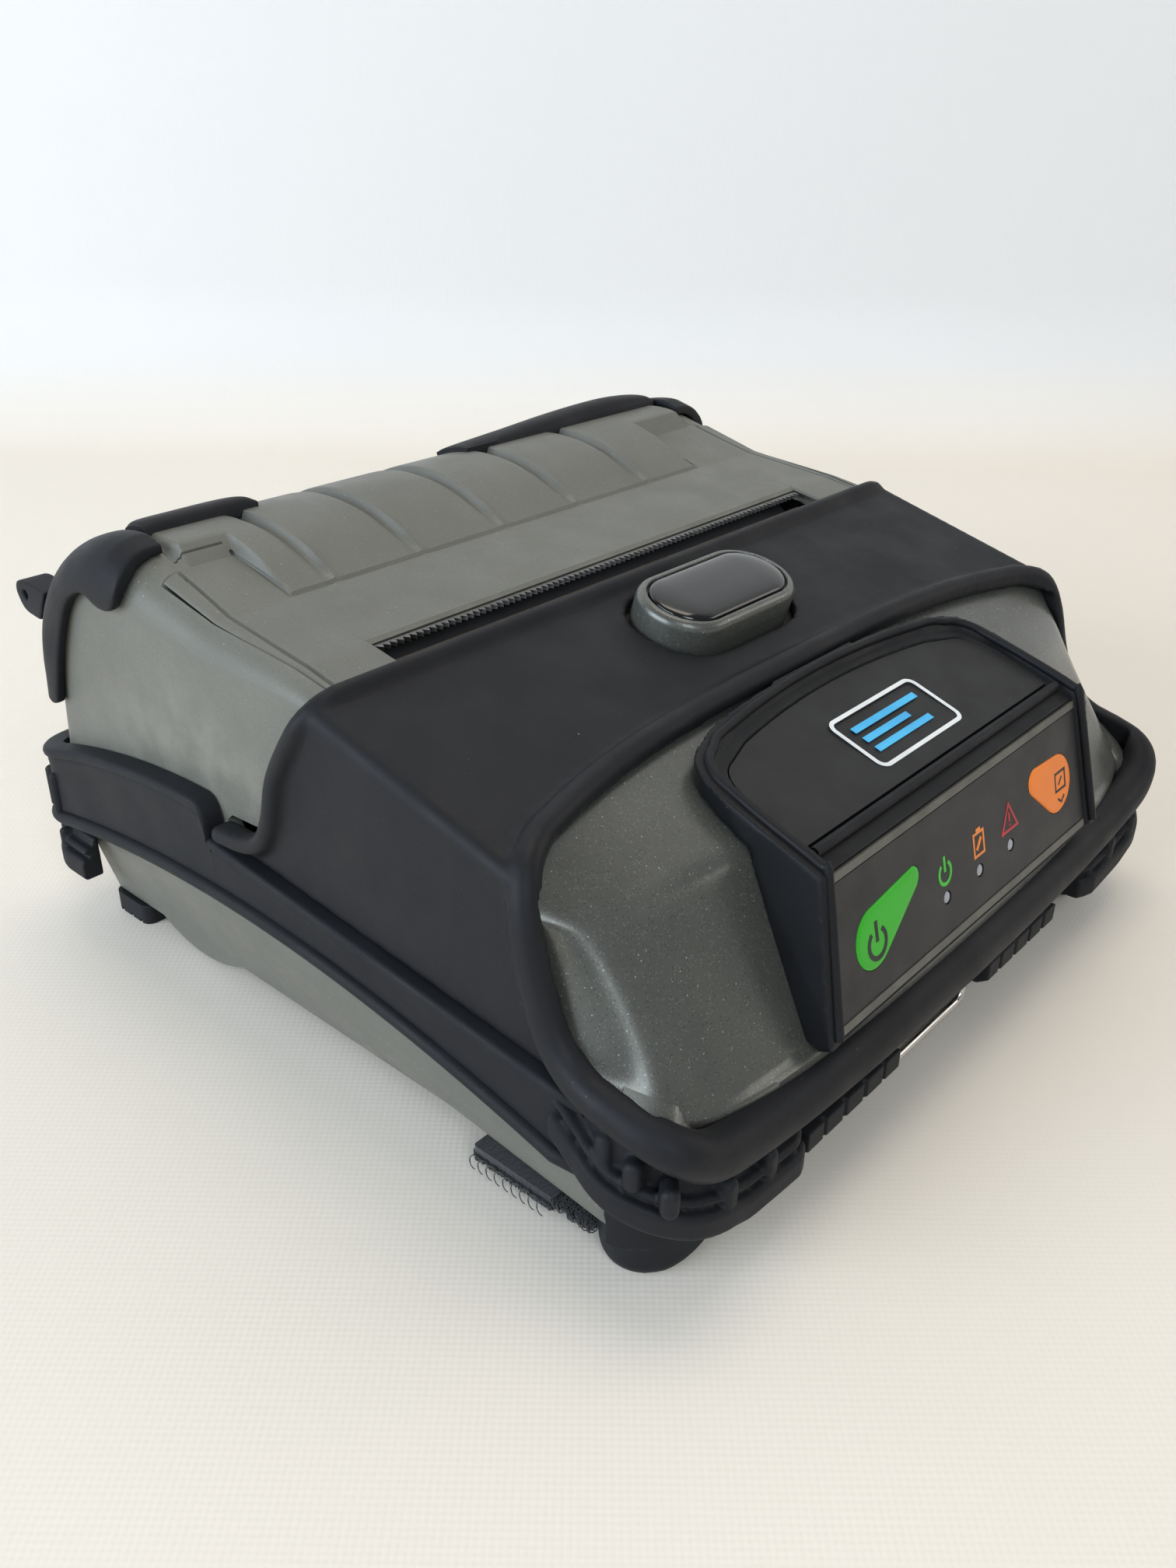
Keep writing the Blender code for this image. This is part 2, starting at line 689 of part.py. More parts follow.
def build_panel_pod():
    outline = [
        (-44.6, 61.6, 1),
        (-70.9, 52.9, 0),
        (-76.7, 27.6, 0),
        (-74.4, 26.4, 0),
        (-58.0, 30.0, 0),
        (-44.6, 48.0, 1),
    ]
    made = pod_prism("panel_pod", outline, 0.0, BLACK)
    sunk = [
        (-46.6, 62.8, 1),
        (-46.6, 59.6, 1),
        (-70.2, 51.9, 0),
        (*panel_point(-3.0, 0.0), 0),
        (-82.0, 25.0, 0),
        (-82.0, 60.0, 0),
        (-60.0, 70.0, 0),
    ]
    plate = [(-48.2, 62.0, 1), (-48.2, 57.8, 1), (-65.6, 52.2, 0), (-66.4, 54.6, 0), (-60.0, 62.0, 0)]
    overlay = [
        (*panel_point(24.4, 3.0), 0),
        (*panel_point(24.4, -0.9), 0),
        (*panel_point(-0.4, -0.9), 0),
        (*panel_point(-0.4, 3.0), 0),
    ]
    hollow = [
        (-50.0, 50.0, 0),
        (*panel_point(23.0, -2.8), 0),
        (*panel_point(3.0, -2.8), 0),
        (-56.0, 30.0, 0),
        (-50.0, 40.0, 0),
    ]
    cut(
        made,
        pod_prism("pod_sunk", sunk, 2.3),
        pod_prism("pod_plate_room", plate, 3.6),
        pod_prism("pod_overlay_room", overlay, 2.9),
        pod_prism("pod_hollow", hollow, 4.0),
        bezel_form("pod_bezel_room", GAP, 20.0, 10.0),
        *panel_holes(0.3, "pod"),
    )
    return made


def panel_object(name, outline, low, high, finish, smooth=0.0):
    """A plate in the panel's own plane: outline pairs are (across, up), low and high are out."""
    rings = []
    for out in (low, high):
        rings.append([(u, *panel_point(v, out)) for u, v in outline])
    return loft(name, rings, finish, smooth=smooth)


def teardrop(across, up, big, small, lean, length):
    """A key outline: a large round end and a small one, joined by tangents."""
    tip = (across + length * math.cos(lean), up + length * math.sin(lean))
    spread = math.acos((big - small) / length)
    outline = []
    for i in range(7):
        angle = lean + spread + (2 * math.pi - 2 * spread) * i / 6
        outline.append((across + big * math.cos(angle), up + big * math.sin(angle)))
    for i in range(4):
        angle = lean - spread + 2 * spread * i / 3
        outline.append((tip[0] + small * math.cos(angle), tip[1] + small * math.sin(angle)))
    return outline


def key_outlines():
    """Power key on the left and feed key on the right."""
    return {
        "power_key": teardrop(-30.0, 10.6, 4.8, 1.8, math.radians(20), 12.6),
        "feed_key": teardrop(31.0, 11.6, 5.2, 2.4, math.radians(158), 8.6),
    }


LED_PLACES = {"led_power": -8.7, "led_battery": 2.1, "led_fault": 12.9}
LED_UP = 7.5


def panel_holes(spare, owner):
    """Helpers that open a panel piece for the keys and the light pipes."""
    tools = []
    for key, outline in key_outlines().items():
        tools.append(panel_object(f"{owner}_{key}_room", widen(outline, spare), -9, 9, HELPER))
    for led, across in LED_PLACES.items():
        hole = circle(across, LED_UP, 1.0 + spare, 12)
        tools.append(panel_object(f"{owner}_{led}_room", hole, -9, 9, HELPER))
    return tools


def build_panel():
    pod_prism(
        "nameplate",
        [(-48.6, 59.3, 1), (-48.6, 58.4, 1), (-65.3, 52.95, 0), (-65.5, 53.8, 0)],
        4.0,
        GLOSS,
    )
    corners = [(-40.6, 0.0), (40.6, 0.0), (39.2, 24.0), (-39.2, 24.0)]
    overlay = panel_object("keypad_overlay", corners, -0.55, 0.0, OVERLAY)
    cut(overlay, *panel_holes(GAP, "overlay"))
    for key, outline in key_outlines().items():
        finish = GREEN if key == "power_key" else ORANGE
        made = panel_object(key, outline, -3.6, 0.25, finish, 40)
        set_origin(made, (outline[0][0], *panel_point(outline[0][1], 0.0)))
    for led, across in LED_PLACES.items():
        panel_object(led, circle(across, LED_UP, 1.0, 12), -4.4, 0.1, CLEAR, 40)
    board = [(-37.0, 4.0), (37.0, 4.0), (36.0, 18.5), (-36.0, 18.5)]
    panel_object("keypad_board", board, -6.2, -5.0, BOARD)


# --- door, rear rubber ------------------------------------------------------------------------


def build_media_door():
    """Flat front strip and side plates, a rounded back over the roll, and hinge knuckles."""
    made = pillow("media_door", roof(-5.4, 30.0, 9), 0.0, 71.0, lambda y: 0.0, GREY, 1)
    under = pillow("door_under", roof(-30.0, 20.0, 9), -2.4, 90.0, lambda y: 0.0, HELPER, 1)
    footprint = door_room("door_footprint", 0.0)
    notch = box("door_notch", (-57.5, -20, 60), (57.5, 2.2, 90), HELPER)
    crown = [(20.5, 71.6), (23.0, 73.4), (26.5, 75.4), (31.0, 77.4), (37.0, 79.3), (44.0, 80.3)]
    crown += [
        (BULGE_Y + 29.3 * math.cos(a), BULGE_Z + 29.3 * math.sin(a))
        for a in (math.radians(80 - 13 * i) for i in range(6))
    ]
    crown += [(BULGE_Y + 27.5 * math.cos(math.radians(a)), BULGE_Z + 27.5 * math.sin(math.radians(a)))
              for a in (15, 35, 60, 90)]
    cut(made, under)
    keep(made, footprint)
    fuse(made, prism("door_crown", "X", crown, -56.0, 50.0, HELPER))
    for sx in (-1, 1):
        low, high = sorted((sx * 50.0, sx * 63.0))
        knuckle = [
            (HINGE_Y + 3.0 * math.cos(a), HINGE_Z + 3.0 * math.sin(a))
            for a in (math.radians(120 + 24 * i) for i in range(11))
        ]
        knuckle += [(BULGE_Y + BULGE_R - 0.8, 51.0), (BULGE_Y + BULGE_R - 2.5, 51.0)]
        fuse(made, prism(f"door_knuckle{sx}", "X", knuckle, low, high, HELPER))
        lug_low, lug_high = sorted((sx * 63.1, sx * 70.0))
        cut(made, box(f"lug_room{sx}", (lug_low, 60.0, 40.0), (lug_high, 90.0, 49.4), HELPER))
    cut(made, notch, rod("door_bore", "X", HINGE_Y, HINGE_Z, 1.9, -80, 80, HELPER, 16))
    return set_origin(made, (0.0, HINGE_Y, HINGE_Z))


def arc_strip(inner, outer, start, stop, steps):
    """A ring segment about the door's rounded back, seen from the side."""
    outline = []
    for radius, first, last in ((inner, start, stop), (outer, stop, start)):
        for i in range(steps + 1):
            angle = math.radians(first + (last - first) * i / steps)
            outline.append((BULGE_Y + radius * math.cos(angle), BULGE_Z + radius * math.sin(angle)))
    return outline


def build_rear_rubber():
    for hand, sx in (("left", -1), ("right", 1)):
        grown = pillow(
            f"rear_bumper_{hand}",
            roof(-14.0, SEAM_Z, 9),
            1.9,
            SIDE_X + 2.0,
            case_shoulder,
            RUBBER,
        )
        room = pillow(
            f"rear_bumper_room_{hand}",
            roof(-30.0, 10.0, 9),
            GAP,
            SIDE_X + GAP,
            case_shoulder,
        )
        shape = [
            (41.0, 90.0),
            (41.0, 74.0),
            (46.5, 70.4),
            (51.5, 72.0),
            (57.0, 68.5),
            (62.5, 59.0),
            (66.5, 47.2),
            (90.0, 47.2),
            (90.0, 90.0),
        ]
        low, high = sorted((sx * 66.8, sx * 90.0))
        keep(grown, prism(f"rear_bumper_shape_{hand}", "X", shape, low, high, HELPER))
        cut(grown, room)
    left = arc_strip(29.7, 31.5, 72, 84, 3)
    prism("door_strip_left", "X", left, -66.0, -43.5, RUBBER, 40)
    rings = []
    for x, rise in ((7.0, 0.6), (22.0, 1.5), (38.0, 2.6), (52.0, 3.0), (62.0, 2.4), (66.0, 1.2)):
        rings.append([(x, y, z) for y, z in arc_strip(29.7, 29.9 + rise, 66, 84, 3)])
    loft("door_strip_right", rings, RUBBER, smooth=40)
    lug = [(72.6, 60.8), (78.8, 62.4), (79.8, 65.4), (78.4, 67.0), (69.5, 66.6)]
    made = prism("strap_lug", "X", lug, -74.2, -68.6, RUBBER)
    cut(made, pillow("lug_room", roof(-30.0, 10.0, 9), 2.3, SIDE_X + 2.4, case_shoulder))


# --- printing mechanism ------------------------------------------------------------------------


def gear_outline(cy, cz, teeth, phase):
    """Tooth outline with slim trapezoid teeth, so that a pair runs without touching."""
    pitch = GEAR_MODULE * teeth / 2
    outline = []
    for tooth in range(teeth):
        middle = phase + 2 * math.pi * tooth / teeth
        for reach, share in ((-0.62, -0.36), (0.42, -0.12), (0.42, 0.12), (-0.62, 0.36)):
            angle = middle + share * math.pi / teeth * 1.25
            radius = pitch + reach * GEAR_MODULE
            outline.append((cy + radius * math.cos(angle), cz + radius * math.sin(angle)))
    return outline


def gear(name, cy, cz, teeth, phase, bore, finish):
    """A spur gear in the gear train's plane, turning about X."""
    made = prism(name, "X", gear_outline(cy, cz, teeth, phase), GEAR_X, GEAR_X + 3.0, finish)
    cut(made, rod(f"{name}_bore", "X", cy, cz, bore, GEAR_X - 3, GEAR_X + 6, HELPER, 12))
    return set_origin(made, (GEAR_X, cy, cz))


def gear_places():
    """Centres of platen gear, idler and motor pinion, and the phases that mesh them."""
    lift = Vector((HINGE_Z - PLATEN_Z, HINGE_Y - PLATEN_Y)).normalized()
    down = Vector((-abs(lift.x), -abs(lift.y)))
    reach = GEAR_MODULE * (PLATEN_TEETH + IDLER_TEETH) / 2
    idler = Vector((PLATEN_Y, PLATEN_Z)) + down * reach
    side = Vector((-0.9, -0.436)).normalized()
    pinion = idler + side * GEAR_MODULE * (IDLER_TEETH + PINION_TEETH) / 2
    return idler, pinion, down, side


def mesh_phase(direction, teeth):
    """Phase that puts a gap between teeth in a direction."""
    return math.atan2(direction.y, direction.x) + math.pi / teeth


def build_mechanism():
    idler, pinion, down, side = gear_places()
    platen = [(-64.6, 2.0), (-57.0, 2.0), (-56.6, PLATEN_R), (56.6, PLATEN_R), (57.0, 2.0), (68.6, 2.0)]
    rings = []
    for x, radius in platen:
        rings.append([(x, y, z) for y, z in circle(PLATEN_Y, PLATEN_Z, radius, 28)])
    set_origin(loft("platen_roller", rings, RUBBER, smooth=40), (0, PLATEN_Y, PLATEN_Z))
    gear("platen_gear", PLATEN_Y, PLATEN_Z, PLATEN_TEETH, mesh_phase(down, PLATEN_TEETH), 2.3, WHITE_GEAR)
    idler_phase = math.atan2(-down.y, -down.x)
    gear("idler_gear", idler.x, idler.y, IDLER_TEETH, idler_phase, 1.8, WHITE_GEAR)
    turn = (math.atan2(side.y, side.x) - idler_phase) * IDLER_TEETH / (2 * math.pi)
    offset = (turn - math.floor(turn)) * 2 * math.pi
    pinion_phase = math.atan2(-side.y, -side.x) + math.pi / PINION_TEETH + offset / PINION_TEETH
    gear("motor_pinion", pinion.x, pinion.y, PINION_TEETH, pinion_phase, 1.3, STEEL)
    for hand, low, high in (("left", -63.0, -60.0), ("right", 60.0, 63.0)):
        outline = [(2.0, 57.2), (12.0, 57.2), (12.0, 69.0), (2.0, 68.5)]
        bush = prism(f"platen_bush_{hand}", "X", outline, low, high, BLACK)
        cut(bush, rod(f"bush_bore_{hand}", "X", PLATEN_Y, PLATEN_Z, 2.3, -80, 80, HELPER, 16))
    teeth = [(-57.0, 2.1), (-57.0, 1.5)]
    count = 38
    for i in range(count):
        x = -57.0 + 114.0 * i / count
        teeth += [(x + 0.05, 1.5), (x + 1.5, 0.7), (x + 2.95, 1.5)]
    teeth += [(57.0, 1.5), (57.0, 2.1)]
    prism("tear_bar", "Z", teeth, 69.6, 71.0, STEEL)
    box("print_head", (-57.8, 0.1, 55.5), (57.8, 1.2, 67.4), CERAMIC)
    sink = box("head_bracket", (-57.8, -3.6, 54.6), (57.8, -0.2, 67.2), ALUMINIUM)
    for i in range(6):
        x = -50.0 + 20.0 * i
        slot = box(f"sink_slot{i}", (x - 6.0, -6.0, 57.0), (x + 6.0, -2.0, 66.0), HELPER)
        cut(sink, slot)
    motor = rod("stepper_motor", "X", pinion.x, pinion.y, 10.0, 40.0, 62.4, STEEL, 28)
    fuse(motor, rod("motor_shaft", "X", pinion.x, pinion.y, 1.0, 55.0, 68.4, HELPER, 12))
    plate = prism(
        "gear_bracket",
        "X",
        [(-17.0, 36.0), (12.0, 36.0), (12.0, 54.0), (-17.0, 54.0)],
        62.7,
        64.2,
        STEEL,
    )
    fuse(plate, rod("idler_stub", "X", idler.x, idler.y, 1.5, 63.0, 68.4, HELPER, 12))
    cut(plate, rod("plate_hole", "X", pinion.x, pinion.y, 1.4, 50, 80, HELPER, 12))


def build_latch():
    """Rocker on a cross rod: the button pushes its front arm, its noses hold the platen bushes."""
    made = rod("latch_bar", "X", LATCH_Y, LATCH_Z, 1.5, -71.6, 71.6, STEEL, 12)
    arm = [(-22.0, 58.6), (-21.0, 60.5), (-17.5, 60.5), (-9.5, 58.6), (-9.0, 56.0), (-11.0, 55.9)]
    fuse(made, prism("latch_arm", "X", arm, -5.0, 5.0, HELPER))
    nose = [(-11.0, 55.9), (-9.0, 55.8), (0.6, 60.4), (1.7, 61.4), (1.7, 63.0), (0.4, 63.8), (-10.4, 58.2)]
    for low, high in ((-63.0, -60.2), (60.2, 63.0)):
        fuse(made, prism(f"latch_nose{low:.0f}", "X", nose, low, high, HELPER))
    set_origin(made, (0, LATCH_Y, LATCH_Z))
    turns, steps = 6, 12
    path = []
    length, coil = 8.64, 2.5
    for i in range(turns * steps + 1):
        angle = 2 * math.pi * i / steps
        x = 14.0 + length * i / (turns * steps)
        path.append((x, LATCH_Y + coil * math.cos(angle), LATCH_Z + coil * math.sin(angle)))
    tube("latch_spring", path, [0.4] * len(path), 6, STEEL)


def build_button():
    """Oval door release, with a glossy domed label in its top."""
    lean = math.atan(BAND_SLOPE)

    def level(outline, height):
        ring = []
        for x, y in outline:
            along = y - BUTTON_Y
            ring.append((x, BUTTON_Y + along * math.cos(lean) - height * math.sin(lean),
                         band_top(BUTTON_Y) + along * math.sin(lean) + height * math.cos(lean)))
        return ring

    oval = rounded(17.2, 8.6, 8.5, 6, (0.0, BUTTON_Y))
    flange = rounded(19.0, 10.4, 10.3, 6, (0.0, BUTTON_Y))
    inner = rounded(15.9, 7.3, 7.2, 6, (0.0, BUTTON_Y))
    made = loft(
        "release_button",
        [level(flange, -4.2), level(flange, -3.0), level(oval, -2.8), level(oval, 3.8), level(inner, 4.5)],
        BEZEL_GREY,
        smooth=40,
    )
    fuse(made, loft("button_stem", [level(circle(0, BUTTON_Y, 3.0, 12), h) for h in (-5.0, -3.7)], HELPER))
    well = rounded(15.5, 6.9, 6.8, 6, (0.0, BUTTON_Y))
    cut(made, loft("label_room", [level(well, 3.4), level(well, 8.0)], HELPER))
    small = rounded(15.2, 6.6, 6.5, 6, (0.0, BUTTON_Y))
    top = rounded(13.8, 5.2, 5.1, 6, (0.0, BUTTON_Y))
    crest = rounded(11.0, 2.6, 2.5, 6, (0.0, BUTTON_Y))
    loft(
        "button_label",
        [level(small, 3.7), level(small, 4.2), level(top, 4.9), level(crest, 5.2)],
        GLOSS,
        smooth=60,
    )


def build_media():
    roll = rod("paper_roll", "X", ROLL_Y, ROLL_Z, ROLL_R, -MEDIA_HALF, MEDIA_HALF, PAPER, 40)
    cut(roll, rod("roll_hole", "X", ROLL_Y, ROLL_Z, 10.7, -80, 80, HELPER, 28))
    set_origin(roll, (0, ROLL_Y, ROLL_Z))
    core = rod("roll_core", "X", ROLL_Y, ROLL_Z, 10.4, -MEDIA_HALF, MEDIA_HALF, CARD, 28)
    cut(core, rod("core_hole", "X", ROLL_Y, ROLL_Z, 9.0, -80, 80, HELPER, 28))
    set_origin(core, (0, ROLL_Y, ROLL_Z))
    teeth = 10
    for hand, sx in (("left", -1), ("right", 1)):
        outline = [(ROLL_Y - 12, 9.0), (ROLL_Y + 12, 9.0)]
        outline += [
            (ROLL_Y + 20.0 * math.cos(a), ROLL_Z + 20.0 * math.sin(a))
            for a in (math.radians(-20 + 22 * i) for i in range(11))
        ]
        low, high = sorted((sx * (MEDIA_HALF + 0.6), sx * (MEDIA_HALF + 3.0)))
        made = prism(f"media_guide_{hand}", "X", outline, low, high, BLACK)
        hub_low, hub_high = sorted((sx * 50.0, sx * (MEDIA_HALF + 1.5)))
        fuse(made, rod(f"guide_hub_{hand}", "X", ROLL_Y, ROLL_Z, 8.6, hub_low, hub_high, HELPER, 24))
        fuse(made, rack(hand, sx, teeth))
    outline = []
    pitch = 2 * math.pi / teeth
    for i in range(teeth):
        for reach, share in ((-0.7, -0.3), (0.55, -0.1), (0.55, 0.1), (-0.7, 0.3)):
            angle = math.pi / 2 + pitch * (i + share)
            radius = RACK_RADIUS + reach
            outline.append((radius * math.cos(angle), ROLL_Y + radius * math.sin(angle)))
    made = prism("guide_pinion", "Z", outline, 5.6, 8.2, WHITE_GEAR)
    set_origin(made, (0, ROLL_Y, 5.6))


def rack(hand, sx, teeth):
    """A toothed arm from a media guide to the pinion in the middle."""
    pitch = 2 * math.pi * RACK_RADIUS / teeth
    low, high = -9.0, MEDIA_HALF + 2.0
    outline = [(high, 6.8), (low, 6.8), (low, 4.7)]
    for i in range(-3, 5):
        middle = (i + 0.5) * pitch
        outline += [
            (middle - 0.3 * pitch, 4.7),
            (middle - 0.1 * pitch, 3.6),
            (middle + 0.1 * pitch, 3.6),
            (middle + 0.3 * pitch, 4.7),
        ]
    outline.append((high, 4.7))
    placed = [(sx * u, ROLL_Y + sx * v) for u, v in outline]
    arm = prism(f"guide_rack_{hand}", "Z", placed, 5.6, 8.2, HELPER)
    low_x, high_x = sorted((sx * (MEDIA_HALF + 0.6), sx * (MEDIA_HALF + 3.0)))
    y_low, y_high = sorted((ROLL_Y + sx * 4.8, ROLL_Y + sx * 7.8))
    fuse(arm, box(f"guide_leg_{hand}", (low_x, y_low, 5.6), (high_x, y_high, 10.0), HELPER))
    return arm


def build_electronics():
    board = box("main_board", (-60.0, -58.0, 28.4), (60.0, -20.0, 30.0), BOARD)
    fuse(board, box("board_tongue", (40.0, -34.0, 28.4), (68.0, -6.0, 30.0), HELPER))
    box("battery_pack", (-56.0, -60.0, 7.4), (56.0, -14.0, 26.6), CELL, 2.0)
    port = box("data_port", (64.0, -30.0, 30.3), (72.0, -22.0, 33.0), STEEL)
    cut(port, box("port_slot", (68.0, -29.2, 31.0), (80.0, -22.8, 32.3), HELPER))
    jack = box("power_jack", (62.0, -17.0, 30.3), (72.0, -9.0, 33.0), BLACK)
    cut(jack, rod("jack_hole", "X", -13.0, 31.6, 0.9, 64, 80, HELPER, 12))
    cover = box("port_cover", (76.4, -32.0, 26.4), (79.2, -8.0, 32.4), RUBBER, 0.4)
    set_origin(cover, (77.4, -20.0, 26.8))


# --- underside ------------------------------------------------------------------------------------


def build_underside():
    for hand, sx in (("left", -1), ("right", 1)):
        low, high = sorted((BAIL_X + sx * 15.0, BAIL_X + sx * 41.0))
        outline = [(-69.3, 7.6), (-73.6, 8.2), (-75.6, 9.6), (-75.6, 13.0), (-69.3, 13.4)]
        made = prism(f"bail_bracket_{hand}", "X", outline, low, high, RUBBER)
        reach = BAIL_X - 20, BAIL_X + 20
        cut(made, rod(f"bail_socket_{hand}", "X", BAIL_Y, BAIL_Z, 1.1, *reach, HELPER, 12))
    path = []
    bail_side = [
        (18.6, 0.0),
        (14.2, 0.0),
        (13.1, -0.5),
        (12.5, -1.6),
        (12.1, -3.0),
        (11.0, -4.0),
        (9.4, -4.3),
    ]
    for sx in (-1, 1):
        side = [(BAIL_X + sx * x, BAIL_Y, BAIL_Z + z) for x, z in bail_side]
        path += side if sx < 0 else side[::-1]
    made = tube("wire_bail", path, [0.8] * len(path), 8, STEEL)
    set_origin(made, (BAIL_X, BAIL_Y, BAIL_Z))
    box("fastener_strip", (-73.4, -50.4, 1.2), (-24.0, -34.0, BASE_Z - GAP), FABRIC)
    for hand, sx in (("left", -1), ("right", 1)):
        rings = [
            [(px, py, level) for px, py in circle(sx * 62.0, -28.0, radius, 12)]
            for radius, level in ((3.0, BASE_Z - GAP), (2.9, BASE_Z - 1.2), (2.0, BASE_Z - 1.8))
        ]
        loft(f"case_screw_{hand}", rings, STEEL, smooth=40)
    rod("hinge_pin", "X", HINGE_Y, HINGE_Z, 1.5, -67.5, 67.5, STEEL, 16)


def main():
    for old in list(bpy.data.objects):
        bpy.data.objects.remove(old)
    build_bottom_housing()
    build_bottom_skirt()
    build_corner_guards()
    build_feet()
    build_top_housing()
    build_top_overmold()
    build_front_bezel()
    build_panel_pod()
    build_panel()
    build_media_door()
    build_rear_rubber()
    build_mechanism()
    build_latch()
    build_button()
    build_media()
    build_electronics()
    build_underside()


main()
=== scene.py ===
"""Looks of a rugged four-inch label printer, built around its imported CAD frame.

Sizes are in millimetres and become metres when a mesh is made. +X is to the right as seen from
the control panel, +Y runs to the rear, +Z is up, and the origin lies on the table under the case.
"""

import math
import random

import bmesh
import bpy
import numpy as np
from mathutils import Matrix, Vector


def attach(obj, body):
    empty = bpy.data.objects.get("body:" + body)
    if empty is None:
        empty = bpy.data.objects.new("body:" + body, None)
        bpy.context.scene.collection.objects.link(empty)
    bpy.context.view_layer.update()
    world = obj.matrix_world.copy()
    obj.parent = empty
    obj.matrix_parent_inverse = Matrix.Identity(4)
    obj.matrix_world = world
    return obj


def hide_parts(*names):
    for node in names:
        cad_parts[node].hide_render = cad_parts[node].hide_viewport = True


MM = 0.001
GAP = 0.3  # clearance between neighbouring pieces
FAR = 90.0  # well outside the case, for the ends of cutters
HANDS = (("left", -1), ("right", 1))

# Case
SIDE_X = 75.0  # outer face of the grey side walls
BAND_X = 77.2  # outer face of the rubber band
SKIRT_X = 78.4  # outer face of the lower skirt
FRONT_Y, REAR_Y = -69.0, 75.0
BASE_Z = 4.5
SEAM_Z = 36.0  # joint between lower and upper housing at the rear
BAND_SLOPE = 0.263
BAND_REF = (-7.3, 70.0)  # the band's rear edge
BULGE_Y, BULGE_Z, BULGE_R = 44.0, 51.0, 29.0  # rounded back of the door and its side walls
ROLL_BULGE_Y, ROLL_BULGE_Z, ROLL_BULGE_R = 41.5, 29.5, 28.0  # the same below, on the lower housing
TUB_WALL, CASE_WALL = 2.4, 2.2
PORT_FRONT, PORT_REAR = -33.0, -7.0

# Mechanism
ROLL_Y, ROLL_Z, ROLL_R, CORE_R = 40.5, 41.5, 26.0, 10.4
MEDIA_HALF = 56.0
PLATEN_Y, PLATEN_Z = 7.0, 62.0
HINGE_Y, HINGE_Z, HINGE_BORE, KNUCKLE_R = 70.2, 45.0, 1.9, 3.0
DOOR_WIDE, DOOR_NARROW = 71.0, 66.3
NARROW_FROM = 63.0  # the door's columns beyond this are drawn in where it is narrow
SEAM_R = 46.7  # radius about the hinge where the door narrows
SLOT_HALF, SLOT_REAR, DOOR_FRONT = 57.5, 2.2, -5.4
BUTTON_Y = -20.0
BAIL_X, BAIL_Y, BAIL_Z = -5.0, -72.3, 10.4

# Control panel plane, and the sloping top of its pod
PANEL_FOOT = Vector((0.0, -76.0, 28.0))
PANEL_TILT = math.radians(14.0)
POD_BACK, POD_TOP, POD_FRONT, POD_FRONT_TOP = -44.6, 61.6, -70.9, 52.9
POD_HALF, POD_ARCH = 41.2, 4.2

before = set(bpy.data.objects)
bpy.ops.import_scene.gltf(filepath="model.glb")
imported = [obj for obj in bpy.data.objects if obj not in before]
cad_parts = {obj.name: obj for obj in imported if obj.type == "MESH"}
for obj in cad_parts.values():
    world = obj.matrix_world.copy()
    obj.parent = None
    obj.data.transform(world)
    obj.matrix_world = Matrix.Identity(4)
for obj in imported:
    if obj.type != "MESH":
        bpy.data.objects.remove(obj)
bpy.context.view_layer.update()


# --- finishes -------------------------------------------------------------------------------


